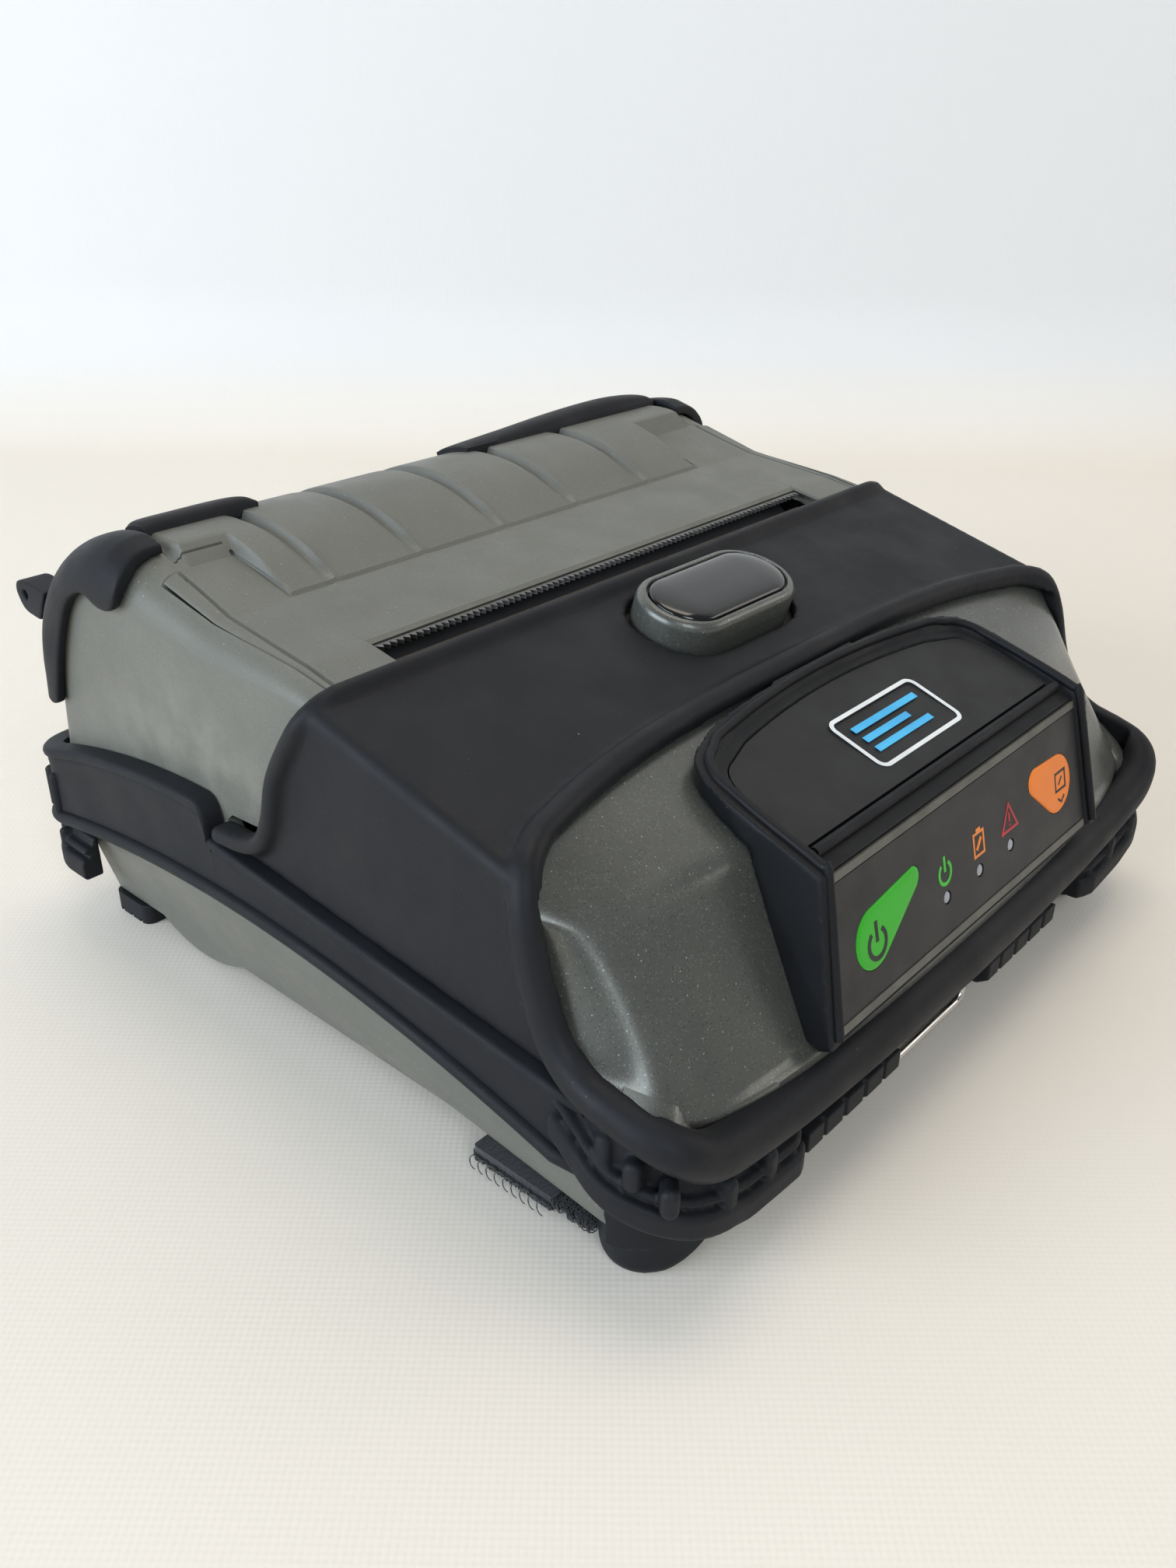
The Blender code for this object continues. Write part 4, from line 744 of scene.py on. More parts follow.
def build_skirt():
    around = plan_outline(SIDE_X + GAP, FRONT_Y - GAP, REAR_Y + GAP, 9.3, 6.3)
    rows = [s for s in around if s[1] > -55.0]

    def order(station):
        """Rearwards along a side, then round the rear corner towards the middle."""
        x, y = station[:2]
        return (y > 65.0, y if y <= 65.0 else y - abs(x))

    left = sorted((s for s in rows if s[0] < 0), key=order)
    right = sorted((s for s in rows if s[0] >= 0), key=order)
    side = SIDE_X + GAP
    thick = SKIRT_X - side
    first = [(side, y, 1.0, 0.0) for y in (-59.6, -58.4, -57.0, -55.4)]
    last = [(-x, y, -ox, oy) for x, y, ox, oy in reversed(first)]
    rings = []
    for x, y, ox, oy in first + right + left[::-1] + last:
        sink = 1.4 * max(0.0, (-55.4 - y) / 4.2)
        section = rounded_profile(thick - sink, thick + 1.3 - sink, skirt_low(y), skirt_high(y) - sink)
        rings.append([(x + ox * d, y + oy * d, z) for d, z in section])
    made = loft("lower_skirt", rings, smooth=55)
    cut(made, box("port_room", (70, PORT_FRONT, 20.0), (FAR, PORT_REAR, 33.0)))
    shade(made.data, 50)
    dress(made, "case", DEEP_RUBBER, "black_rubber", "bottom_skirt")


def blend(share, values):
    """A value between evenly spaced values."""
    place = share * (len(values) - 1)
    start = min(int(place), len(values) - 2)
    return values[start] + (values[start + 1] - values[start]) * (place - start)


def knob(place, outward, tall, wide):
    """A pill standing on a guard: upright, rounded, pushed out of the wall."""
    x, y, z = place
    ox, oy = outward
    rings = []
    for depth, shrink in ((-2.0, 0.0), (0.6, 0.0), (1.1, 0.25), (1.4, 0.7)):
        outline = rounded(wide / 2 - shrink, tall / 2 - shrink, wide / 2 - shrink - 0.02, 5)
        rings.append([(x + ox * depth - oy * u, y + oy * depth + ox * u, z + v) for u, v in outline])
    return loft("knob", rings)


FRONT_KNOBS = (
    ((77.5, -63.6, 25.4), (1.0, 0.0)),
    ((77.5, -68.4, 23.6), (0.96, -0.28)),
    ((76.2, -73.4, 21.4), (0.75, -0.66)),
    ((66.6, -75.6, 17.6), (0.0, -1.0)),
    ((57.2, -75.6, 16.2), (0.0, -1.0)),
)


def guard_section(thick, low, high, skirt):
    """Outwards and up: an apron against the wall, a fat lip, a slit, a slim ledge, the channel."""
    lip = min(4.4, high - low - 1.0)
    section = [(0.0, skirt), (1.0, skirt), (1.0, low), (thick - 1.0, low)]
    section += arc(thick - 1.0, low + 1.0, 1.0, -90, 0, 6)
    section += arc(thick - 1.0, low + lip - 1.0, 1.0, 0, 90, 6)
    for inward, above in ((1.9, 0.0), (1.9, 0.7), (1.0, 0.9), (0.8, 1.5), (1.4, 2.1), (2.8, 2.3)):
        section.append((thick - inward, low + lip + above))
    top = max(high, low + lip + 3.0)
    return section + [(thick - 2.8, top - 0.6), (thick - 3.2, top), (0.0, top)]


# Heights of the front guards' lower and upper edges, from the side round to the front.
FRONT_GUARD_EDGES = ((23.6, 17.0, 12.6, 9.8, 9.0, 8.4), (31.0, 29.0, 26.0, 21.8, 19.6, 18.2))


def guard_stations(inner_x, inner_y, radius, along_side, along_end):
    """Round a corner: (x, y, outward x, outward y), and how far along each one is, from 0 to 1."""
    stations = [(inner_x, inner_y - radius - along_side * (1 - i / 5), 1.0, 0.0) for i in range(5)]
    for c, s in arc(0, 0, 1.0, 0, 90, 18):
        stations.append((inner_x - radius + radius * c, inner_y - radius + radius * s, c, s))
    stations += [(inner_x - radius - along_end * i / 12, inner_y, 0.0, 1.0) for i in range(1, 13)]
    reach = [0.0]
    for before, after in zip(stations, stations[1:]):
        reach.append(reach[-1] + math.dist(before[:2], after[:2]))
    return [(*station, length / reach[-1]) for station, length in zip(stations, reach)]


def build_guards():
    """Corner guards with a fat lip, a channel above it and pill-shaped knobs."""
    inner_x = SIDE_X + GAP
    for end, sy, inner_y, radius, lengths, lows, highs in (
        ("front", -1, GAP - FRONT_Y, 9.3, (4.6, 19.0), *FRONT_GUARD_EDGES),
        ("rear", 1, GAP + REAR_Y, 6.3, (5.0, 8.0), (12.0, 12.0), (20.2, 20.2)),
    ):
        knobs = FRONT_KNOBS
        if end == "rear":
            knobs = []
            for c, s in arc(0, 0, 1.0, 20, 70, 2):
                place = (inner_x - radius + (radius + 2.4) * c, inner_y - radius + (radius + 2.4) * s, 18.0)
                knobs.append((place, (c, s)))
        for hand, sx in HANDS:
            rings = []
            for x, y, ox, oy, share in guard_stations(inner_x, inner_y, radius, *lengths):
                low, high = blend(share, lows), blend(share, highs)
                thick = 4.6 + 3.3 * oy if end == "front" else 4.0
                thick -= 22.0 * max(0.0, share - 0.93)
                skirt = 5.6 if end == "front" and 0.18 < share < 0.8 else low
                section = guard_section(thick, low, high, skirt)
                rings.append([(sx * (x + ox * d), sy * (y + oy * d), z) for d, z in section])
            made = loft(f"guard_{end}_{hand}", rings)
            tall, wide = (5.0, 2.7) if end == "front" else (4.4, 1.8)
            fuse(made, *[knob((sx * x, y, z), (sx * ox, oy), tall, wide) for (x, y, z), (ox, oy) in knobs])
            melt(made, 0.35, 2)
            dress(made, "case", DEEP_RUBBER, "black_rubber", f"corner_guard_{end}_{hand}")


FOOT_OUTLINE = (
    (60.0, -69.9), (66.0, -70.2), (70.6, -69.2), (73.6, -66.4), (74.4, -62.6), (72.6, -58.6),
    (68.0, -55.0), (62.0, -52.0), (57.8, -52.6), (56.6, -58.0), (56.8, -65.0), (60.0, -69.9),
)


def treads(first, pitch, wide, deep, count):
    """Cutters for the grooves under a foot."""
    starts = [first + pitch * i for i in range(count)]
    return [box("tread", (-FAR, y, -1.0), (FAR, y + wide, deep)) for y in starts]


def build_feet():
    for hand, sx in HANDS:
        outline = [(sx * x, y) for x, y in curve_through(FOOT_OUTLINE, 5)[:-1]]
        middle = (sx * 65.5, -60.5)
        rings = []
        for k, z in ((0.13, 0.0), (0.05, 0.6), (0.0, 1.8), (0.0, 9.8), (0.02, 10.4)):
            rings.append([(x * (1 - k) + middle[0] * k, y * (1 - k) + middle[1] * k, z) for x, y in outline])
        made = loft(f"foot_block_{hand}", rings, smooth=50)
        cut(made, *treads(-68.0, 4.2, 0.8, 0.7, 4))
        melt(made, 0.4, 3)
        dress(made, "case", DEEP_RUBBER, "black_rubber", f"foot_front_{hand}")
        rear = prism(f"foot_pad_{hand}", "Z", rounded(4.5, 5.5, 2.0, 8, (sx * 66.5, 64.5)), 0.0, BASE_Z - GAP)
        cut(rear, *treads(61.0, 3.2, 0.7, 0.6, 3))
        soften(rear, 0.4, 3, 50)
        dress(rear, "case", DEEP_RUBBER, "black_rubber", f"foot_rear_{hand}")


# --- upper housing, band, bezel ---------------------------------------------------------------


def door_room():
    """What the media door covers: wide in front of an arc about the hinge, narrow behind it."""
    wide, narrow, floor = DOOR_WIDE + GAP, DOOR_NARROW + GAP, HINGE_Z - 3.6
    made = box("door_room", (-wide, -20, floor), (wide, 60, 100))
    swings = []
    for hand, sx in HANDS:
        low, high = sorted((sx * (DOOR_NARROW - 5.0), sx * FAR))
        swings.append(rod(f"swing_{hand}", "X", HINGE_Y, HINGE_Z, SEAM_R - GAP, low, high, 160))
    cut(made, *swings)
    return fuse(made, box("door_room_rear", (-narrow, 0, floor), (narrow, 99, 101)))


def build_top_case():
    made = pillow("top_case", roof(-14.0, SEAM_Z), 0.0, SIDE_X, case_shoulder)
    rear = REAR_Y - 1.0
    nose = arc(HINGE_Y, HINGE_Z, KNUCKLE_R, 30, 210, 18)
    lug = [(rear, 37.0), (rear, HINGE_Z), *nose, (HINGE_Y - KNUCKLE_R, 37.0)]
    lugs = [prism("lug", "X", lug, *sorted((sx * 63.4, sx * 66.4))) for _, sx in HANDS]
    cut(
        made,
        pillow("inside", roof(-30.0, 20.0), -CASE_WALL, SIDE_X - CASE_WALL, case_shoulder),
        prism("band_room", "X", widen(band_side_region(), 0.5), -FAR, FAR),
        box("front_trim", (-FAR, -60, 0), (FAR, DOOR_FRONT, 100)),
        door_room(),
    )
    fuse(made, *lugs)
    cut(made, rod("bore", "X", HINGE_Y, HINGE_Z, HINGE_BORE, -70, 70))
    shade(made.data, 32)
    soften(made, 0.25, 2, 50)
    dress(made, "case", GREY, "grey_case", "top_housing")


def ring_path():
    """The bumper rib: over the arch, down both sides and round the front foot of the bezel."""
    top = [(x, arch_y(x), band_top(arch_y(x)) - 0.1, 2.2) for x in (0, 9, 18, 26, 34, 41, 48, 54, 60, 65, 69)]
    side = [
        (74.2, -46.6, 58.4, 2.3),
        (76.2, -48.6, 53.0, 2.5),
        (76.5, -51.0, 44.0, 2.7),
        (76.6, -54.4, 36.6, 2.8),
        (76.8, -59.5, 32.6, 2.9),
        (76.6, -65.5, 31.0, 3.0),
        (75.8, -70.4, 29.6, 3.1),
        (73.4, -73.2, 27.4, 3.3),
        (68.6, -74.0, 24.2, 3.6),
        (60.0, -73.8, 22.0, 3.8),
        (44.0, -73.4, 20.0, 4.2),
        (22.0, -73.0, 19.2, 4.8),
    ]
    half = curve_through([*top, *side, (0.0, -72.9, 19.0, 5.0)], 4)
    return np.vstack([half, (half * [-1, 1, 1, 1])[-2:0:-1]])


def rear_rib_path():
    half = [
        (0.0, -7.3, 70.1),
        (36.0, -7.3, 70.1),
        (66.0, -7.3, 70.05),
        (72.6, -7.3, 69.9),
        (76.0, -6.5, 68.2),
        (77.5, -4.6, 65.0),
        (77.9, 0.4, 56.6),
        (78.0, 2.7, 49.0),
        (78.0, 5.6, 43.8),
        (78.0, 10.2, 41.4),
        (78.0, 17.0, 40.6),
    ]
    right = curve_through(half, 5)
    return np.vstack([(right * [-1, 1, 1])[:0:-1], right])


def build_band():
    line = [(-62.0, 24.0, 0.0, 0.0)] + [(y, band_top(y), 0.0, 1.0) for y in np.linspace(-62, 20, 20)]
    made = pillow("rubber_band", [*line, (20.0, 24.0, 0.0, 0.0)], 0.0, BAND_X, lambda y: 2.6)
    keep(made, prism("band_region", "X", band_side_region(), -FAR, FAR))
    arch = [(x, arch_y(x)) for x in np.linspace(-FAR, FAR, 61)]
    cut(made, prism("arch_room", "Z", [(-FAR, -FAR), *arch, (FAR, -FAR)], 55.0, FAR))
    ring = ring_path()
    rib = rear_rib_path()
    fuse(
        made,
        tube("bumper_ring", ring[:, :3], ring[:, 3], 24, True),
        tube("rear_rib", rib, [1.6] * len(rib), 20, round_ends=True),
    )
    under = [(y, band_top(y), 0.0, 1.0) for y in (-70, -40, -10, 30)]
    under = [(-70.0, 10.0, 0.0, 0.0), *under, (30.0, 10.0, 0.0, 0.0)]
    cut(
        made,
        pillow("band_inside", under, -CASE_WALL, SIDE_X + GAP, lambda y: 1.6),
        bezel_volume("bezel_room", 8.0, 17.6),
        box("lower_room", (-74.0, FRONT_Y - 0.4, 0), (74.0, 60, 19.0)),
        prism("button_room", "Z", rounded(18.0, 9.4, 9.3, 12, (0.0, BUTTON_Y)), 50, FAR),
    )
    melt(made, 0.6, 4)
    dress(made, "case", RUBBER, "black_rubber", "top_overmold")


# Across the bezel: x, then (y, z) of its crease and foot, and the height of its lower edge.
BEZEL_STATIONS = (
    (0.0, (-60.6, 53.0), (-73.4, 22.2), 18.0),
    (24.0, (-60.2, 52.9), (-73.2, 22.2), 18.0),
    (48.0, (-58.4, 52.3), (-72.4, 22.4), 18.0),
    (60.0, (-56.4, 51.8), (-71.8, 23.6), 19.0),
    (68.0, (-54.4, 51.2), (-70.9, 26.6), 25.0),
    (71.4, (-53.0, 51.4), (-69.8, 28.4), 27.0),
    (73.4, (-51.4, 51.9), (-67.0, 30.0), 28.0),
    (75.2, (-49.4, 52.2), (-63.6, 31.2), 28.2),
)


def arch_point(x):
    return (arch_y(x) + 0.6, band_top(arch_y(x)) - 1.0 - 0.9 * max(0.0, x - 68.5) / 7.0)


def bezel_volume(name, back, floor):
    """The bezel's closed outer volume, grown by the gap and reaching back past the arch."""
    rings = []
    for sx, stations in ((-1, BEZEL_STATIONS[:0:-1]), (1, BEZEL_STATIONS)):
        for x, crease, foot, low in stations:
            arch = arch_point(x)
            base = min(floor, low) if floor < 17.0 else low - (18.0 - floor)
            across = sx * (x + (GAP if x > 74.0 else 0.0))
            toe = foot[0] - 0.92 * GAP
            section = [(arch[0], arch[1] + GAP), (crease[0] - 0.45 * GAP, crease[1] + 0.75 * GAP)]
            section += [(toe, foot[1]), (toe + 0.9, base)]
            section += [(arch[0] + back, base), (arch[0] + back, arch[1])]
            rings.append([(across, y, z) for y, z in section])
    return loft(name, rings, smooth=30)


def build_bezel():
    """Front bezel as a fine sheet: sloping top, crease, upright face, side ridge, ledge at its foot."""
    flat = [(x, *arch_point(x), *crease, *foot, low) for x, crease, foot, low in BEZEL_STATIONS]
    half = []
    for (x0, *first), (x1, *second) in zip(flat, flat[1:]):
        steps = max(2, round(x1 - x0))
        for i in range(steps):
            t = i / steps
            half.append([x0 + (x1 - x0) * t] + [a + (b - a) * t for a, b in zip(first, second)])
    half.append(list(flat[-1]))
    across = [[-row[0], *row[1:]] for row in half[:0:-1]] + half
    grid = []
    for x, ay, az, cy, cz, fy, fz, low in across:
        centre = ease((71.0 - abs(x)) / 16.0)
        bow = 5.0 * max(0.0, (abs(x) - 71.0) / 4.2) ** 1.2
        ledge, lip = 1.5 * centre, 3.6 * centre + 0.4
        section = []
        for i in range(24):
            t = i / 24
            section.append((ay + (cy - ay) * t, az + (cz - az) * t))
        for i in range(41):
            t = i / 40
            back = bow * math.sin(math.pi * min(1.0, t * 1.05)) ** 0.8
            section.append((cy + (fy - cy) * t + back, cz + (fz + lip - cz) * t))
        section += [(fy - 0.55 * ledge, fz + lip - 0.5), (fy - 0.95 * ledge, fz + lip - 1.0)]
        section += [(fy - ledge, fz + lip * 0.4), (fy - ledge + 0.2, fz - 0.6), (fy + 0.9, low)]
        grid.append([(x, y, z) for y, z in section])
    grid = np.array(grid)
    inside = np.array([abs(row[0]) < 67.0 for row in across])[1:-1]
    for _ in range(60):
        softer = 0.5 * grid[1:-1] + 0.25 * (grid[:-2] + grid[2:])
        grid[1:-1][inside] = softer[inside]
    for _ in range(7):
        grid[:, 1:-8] = 0.5 * grid[:, 1:-8] + 0.25 * (grid[:, :-9] + grid[:, 2:-7])
        grid[1:-1] = 0.6 * grid[1:-1] + 0.2 * (grid[:-2] + grid[2:])
    made = thick_sheet("bezel_shell", grid, 2.2)
    cut(made, panel_object("window", [(-39, 1.5), (39, 1.5), (39, 21), (-39, 21)], -14, 3))
    shade(made.data, 45)
    dress(made, "case", METALLIC, "grey_metallic", "front_bezel")


def grid_normals(grid):
    """Unit normals of a grid of points, turned upwards."""
    normal = np.cross(np.gradient(grid, axis=0), np.gradient(grid, axis=1))
    normal /= np.maximum(1e-9, np.linalg.norm(normal, axis=2, keepdims=True))
    return normal if normal[..., 2].mean() >= 0 else -normal


def thick_sheet(name, grid, thick, smooth=45.0):
    """A closed sheet from a grid of surface points, thickened against its normals."""
    inner = grid - grid_normals(grid) * thick
    rows, columns = grid.shape[:2]
    points = np.vstack([grid.reshape(-1, 3), inner.reshape(-1, 3)])
    under = rows * columns
    faces = []
    for i in range(rows - 1):
        for j in range(columns - 1):
            a = i * columns + j
            faces.append((a, a + 1, a + columns + 1, a + columns))
            faces.append((under + a, under + a + columns, under + a + columns + 1, under + a + 1))
    rim = list(range(columns))
    rim += [i * columns + columns - 1 for i in range(1, rows)]
    rim += [(rows - 1) * columns + j for j in range(columns - 2, -1, -1)]
    rim += [i * columns for i in range(rows - 2, 0, -1)]
    for a, b in zip(rim, rim[1:] + rim[:1]):
        faces.append((a, b, under + b, under + a))
    return mesh_piece(name, points, faces, smooth)


# --- control pod ------------------------------------------------------------------------------


def pod_scale(z):
    """Half-width of the pod against height: it widens downwards."""
    return 41.4 + (62.0 - z) * 0.0957


def pod_prism(name, outline, inset, steps=40):
    """A side outline carried across the pod, following its taper and its arched back edge."""
    rings = []
    for i in range(steps + 1):
        share = -1 + 2 * i / steps
        ring = []
        for y, z, arched in outline:
            bow = arched * (1 - share * share)
            ring.append((share * (pod_scale(z) - inset), y + POD_ARCH * bow, z + 1.1 * bow))
        rings.append(ring)
    return loft(name, rings, smooth=30)


def pod_plan(inset, radius):
    """The pod's rear corners from above: straight sides rounded into the arch."""
    half = POD_HALF - inset
    back = POD_BACK - inset
    corner = arc(half - radius, back - radius + 0.6, radius, 0, 80, 11)
    arch = [(x, back + POD_ARCH * (1 - (x / half) ** 2) + 0.3) for x in np.linspace(half - radius, 0, 8)]
    right = [(half + 5.0, -FAR), (half + 3.2, -76.0), (half + 0.4, back - radius)] + corner[1:] + arch[1:]
    return right + [(-x, y) for x, y in right[-2::-1]]


def pod_top(y):
    """Height of the pod's sloping top."""
    return POD_TOP + (y - POD_BACK) * (POD_TOP - POD_FRONT_TOP) / (POD_BACK - POD_FRONT)


def pod_room(name, section, inset, radius):
    """A cutter with the pod's own outline, set in from its sides and back."""
    return keep(pod_prism(name, section, inset), prism("plan", "Z", pod_plan(inset, radius), 10.0, FAR))


def build_pod():
    outline = [(POD_BACK, POD_TOP, 1), (POD_FRONT, POD_FRONT_TOP, 0), (-76.7, 27.6, 0)]
    outline += [(-74.4, 26.4, 0), (-58.0, 30.0, 0), (POD_BACK, 48.0, 1)]
    made = pod_room("pod_shell", outline, 0.0, 8.0)
    sunk = [(-40.6, 64.8, 1), (-40.6, 62.2, 1), (-70.2, 51.9, 0), (*panel_point(-3.0, 0.0), 0)]
    sunk += [(-82.0, 25.0, 0), (-82.0, 60.0, 0), (-60.0, 72.0, 0)]
    plate = [(-41.2, 63.8, 1), (-41.2, 60.5, 1), (-65.6, 52.2, 0), (-66.4, 54.6, 0), (-60.0, 62.0, 0)]
    lower = [panel_point(v, out) for v, out in ((24.4, 3.0), (24.4, -0.9), (-0.4, -0.9), (-0.4, 3.0))]
    hollow = [(-50.0, 50.0), panel_point(23.0, -2.8), panel_point(3.0, -2.8), (-56.0, 30.0), (-50.0, 40.0)]
    cut(
        made,
        pod_room("pod_sunk", sunk, 2.5, 6.6),
        pod_room("pod_plate_room", plate, 4.3, 5.4),
        pod_prism("pod_overlay_room", [(*p, 0) for p in lower], 3.2),
        pod_prism("pod_hollow", [(*p, 0) for p in hollow], 4.0),
        bezel_volume("pod_bezel_room", 20.0, 10.0),
    )
    melt(made, 0.42, 3)
    dress(made, "case", POD, "black_plastic", "panel_pod")
    build_pod_bead()


def build_pod_bead():
    """The raised bead round the pod's rim."""
    inset, radius = 2.0, 6.4
    half = [
        (pod_scale(29.0) - inset, *panel_point(0.6, 0.75)),
        (pod_scale(52.0) - inset, *panel_point(24.0, 0.75)),
        (pod_scale(53.6) - inset, -69.4, 53.5),
        (pod_scale(57.0) - inset, -59.6, 56.75),
    ]
    back = POD_BACK - inset
    reach = POD_HALF - inset
    for angle in np.radians(np.linspace(0, 76, 7)):
        y = back - radius + radius * math.sin(angle) + 0.6
        half.append((reach - radius + radius * math.cos(angle), y, pod_top(y)))
    for x in np.linspace(reach - 7.6, 0, 7):
        y = back + POD_ARCH * (1 - (x / reach) ** 2) + 0.3
        half.append((x, y, pod_top(y)))
    fine = curve_through(half, 4)
    path = np.vstack([fine, (fine * [-1, 1, 1])[-2::-1]])
    dress(tube("pod_bead", path, [0.8] * len(path), 14), "case", POD, "black_plastic")


def teardrop(across, up, big, small, lean, length, steps=10):
    """A key outline: a large round end and a small one, joined by tangents, leaning by an angle."""
    spread = math.degrees(math.acos((big - small) / length))
    tip_across = across + length * math.cos(math.radians(lean))
    tip_up = up + length * math.sin(math.radians(lean))
    outline = arc(across, up, big, lean + spread, lean + 360 - spread, 2 * steps)
    return outline + arc(tip_across, tip_up, small, lean - spread, lean + spread, steps)


# Each key: its CAD node, outline, body, finish and slot.
POWER_OUTLINE = teardrop(-30.0, 10.6, 4.8, 1.8, 20, 12.6)
FEED_OUTLINE = teardrop(31.0, 11.6, 5.2, 2.4, 158, 8.6)
KEYS = (
    ("power_key", POWER_OUTLINE, "power_button", GREEN, "green_key"),
    ("feed_key", FEED_OUTLINE, "feed_button", ORANGE, "orange_key"),
)
LED_PLACES = {"led_power": -8.7, "led_battery": 2.1, "led_fault": 12.9}
LED_UP = 7.5
FILM_LOW = -0.55  # back of the overlay, out of the panel plane
INK_THICK = 0.08


def build_overlay():
    corners = [(-40.4, 1.6), (40.4, 1.6), (39.2, 22.6), (-39.2, 22.6)]
    film = panel_object("key_film", corners, FILM_LOW, 0.0)
    rooms = [panel_object("room", widen(outline, 0.12), -9, 9) for _, outline, *_ in KEYS]
    rooms += [panel_object("room", circle(x, LED_UP, 1.15, 24), -9, 9) for x in LED_PLACES.values()]
    cut(film, *rooms)
    dress(film, "case", FILM, "overlay_film", "keypad_overlay")
    strips = []
    for low, high, half in ((0.0, 1.35, 40.5), (22.85, 24.1, 39.1)):
        outline = [(-half, low), (half, low), (half, high), (-half, high)]
        strips.append(panel_object("strip", outline, FILM_LOW, 0.12))
    dress(merge("panel_strips", strips), "case", STRIP_GREY, "grey_case")
    for key, outline, body, finish, slot in KEYS:
        middle = np.mean(outline, axis=0)
        rings = []
        for shrink, out in ((0.0, -3.6), (0.0, 0.0), (0.04, 0.16), (0.12, 0.24), (0.4, 0.27), (0.8, 0.29)):
            smaller = [middle * shrink + np.array(place) * (1 - shrink) for place in outline]
            rings.append([(u, *panel_point(v, out)) for u, v in smaller])
        dress(loft(f"{key}_cap", rings, smooth=50), body, finish, slot, key)
    for led, across in LED_PLACES.items():
        rings = []
        for radius, out in ((1.0, -4.4), (1.0, -0.25), (0.85, -0.1), (0.5, -0.02), (0.15, 0.0)):
            rings.append([(u, *panel_point(v, out)) for u, v in circle(across, LED_UP, radius, 24)])
        dress(loft(f"{led}_lens", rings, smooth=50), "case", LED, "led_window", led)


def print_on(name, shapes, out, place=panel_point):
    """Ink on the panel: each shape is a strip between two lines of points, a film thick."""
    parts = []
    for first, second, closed in shapes:
        rings = []
        for a, b in zip(first, second):
            corners = ((a, out), (b, out), (b, out - INK_THICK), (a, out - INK_THICK))
            rings.append([(u, *place(v, level)) for (u, v), level in corners])
        parts.append(loft("ink", rings, closed=closed))
    return merge(name, parts)


def stroke(points, width, closed=False):
    """Two lines either side of a path."""
    if closed:
        return (widen(points, width / 2), widen(points, -width / 2), True)
    left, right = [], []
    for i, here in enumerate(points):
        before = Vector(points[max(0, i - 1)])
        after = Vector(points[min(len(points) - 1, i + 1)])
        along = (after - before).normalized()
        normal = Vector((-along.y, along.x)) * width / 2
        left.append(tuple(Vector(here) + normal))
        right.append(tuple(Vector(here) - normal))
    return (left, right, False)


def power_icon(u, v, size):
    bar = [(u, v + 0.1 * size), (u, v + 1.55 * size)]
    return [stroke(arc(u, v, size, 125, 415), size * 0.34), stroke(bar, size * 0.34)]


def build_prints():
    """Symbols for power, battery, fault and feed: each shape is a path, its width and if it closes."""
    battery = [
        stroke([(0.7, 10.2), (3.9, 10.2), (3.9, 14.0), (0.7, 14.0)], 0.45, True),
        stroke([(1.6, 14.5), (3.0, 14.5)], 0.6),
        stroke([(1.5, 11.2), (3.1, 13.0)], 0.7),
    ]
    fault = [
        stroke([(10.2, 10.3), (15.6, 10.3), (12.9, 14.8)], 0.5, True),
        stroke([(12.9, 11.7), (12.9, 13.3)], 0.45),
        stroke([(12.9, 10.95), (12.9, 11.3)], 0.45),
    ]
    feed = [
        stroke([(29.9, 10.4), (33.6, 10.4), (33.6, 13.6), (29.9, 13.6)], 0.45, True),
        stroke([(30.6, 8.9), (31.8, 8.0), (33.0, 8.9)], 0.45),
        stroke([(31.0, 11.4), (32.4, 12.6)], 0.45),
    ]
    on_film, on_key = 0.06, 0.32
    for name, shapes, out, body, finish, slot in (
        ("print_green", power_icon(-8.8, 11.7, 1.8), on_film, "case", GREEN_INK, "green_key"),
        ("print_orange", battery, on_film, "case", ORANGE_INK, "orange_key"),
        ("print_red", fault, on_film, "case", RED_INK, "orange_key"),
        ("print_power_key", power_icon(-29.6, 9.6, 2.3), on_key, "power_button", DARK_INK, "green_key"),
        ("print_feed_key", feed, on_key, "feed_button", DARK_INK, "orange_key"),
    ):
        dress(print_on(name, shapes, out), body, finish, slot)


def plate_point(up, out):
    """(y, z) on the name plate: up its slope from its lower edge, and out of its face."""
    slope = Vector((-48.6 + 65.3, 59.3 - 53.75)).normalized()
    return (-65.3 + up * slope.x - out * slope.y, 53.75 + up * slope.y + out * slope.x)


def build_nameplate():
    outline = [(-41.6, 61.1, 1), (-41.6, 60.3, 1), (-65.2, 52.95, 0), (-65.4, 53.8, 0)]
    made = pod_room("name_film", outline, 4.5, 5.2)
    shade(made.data, 35)
    dress(made, "case", PLATE, "gloss_dome", "nameplate")
    rib = tube("plate_rib", [(x, -66.9, 53.5) for x in (-38.2, 0.0, 38.2)], [0.9] * 3, 16)
    dress(rib, "case", POD, "black_plastic")
    label = [stroke(rounded(12.4, 5.6, 1.6, 6, (1.0, 9.0)), 0.75, True)]
    bars = [stroke([(-8.6, v), (end, v)], 1.25) for v, end in ((11.4, 10.4), (9.0, 4.6), (6.6, 8.0))]
    for name, shapes, ink in (("print_label", label, WHITE_INK), ("print_bars", bars, BLUE_INK)):
        dress(print_on(name, shapes, 0.1, plate_point), "case", ink, "gloss_dome")


# --- door and rear rubber ---------------------------------------------------------------------


GROOVES = (-47.6, -28.4, -8.1, 12.0, 33.5)
CROWN_LEFT, CROWN_RIGHT = -56.0, 50.0
STRIP_REAR = (21.8, 73.2)  # (y, z) where the flat strip meets the ribbed back
PLATE_REAR = (36.5, 76.9)  # where the side plates meet the rounded back
STRIP_ROWS, PLATE_ROWS = 26, 30


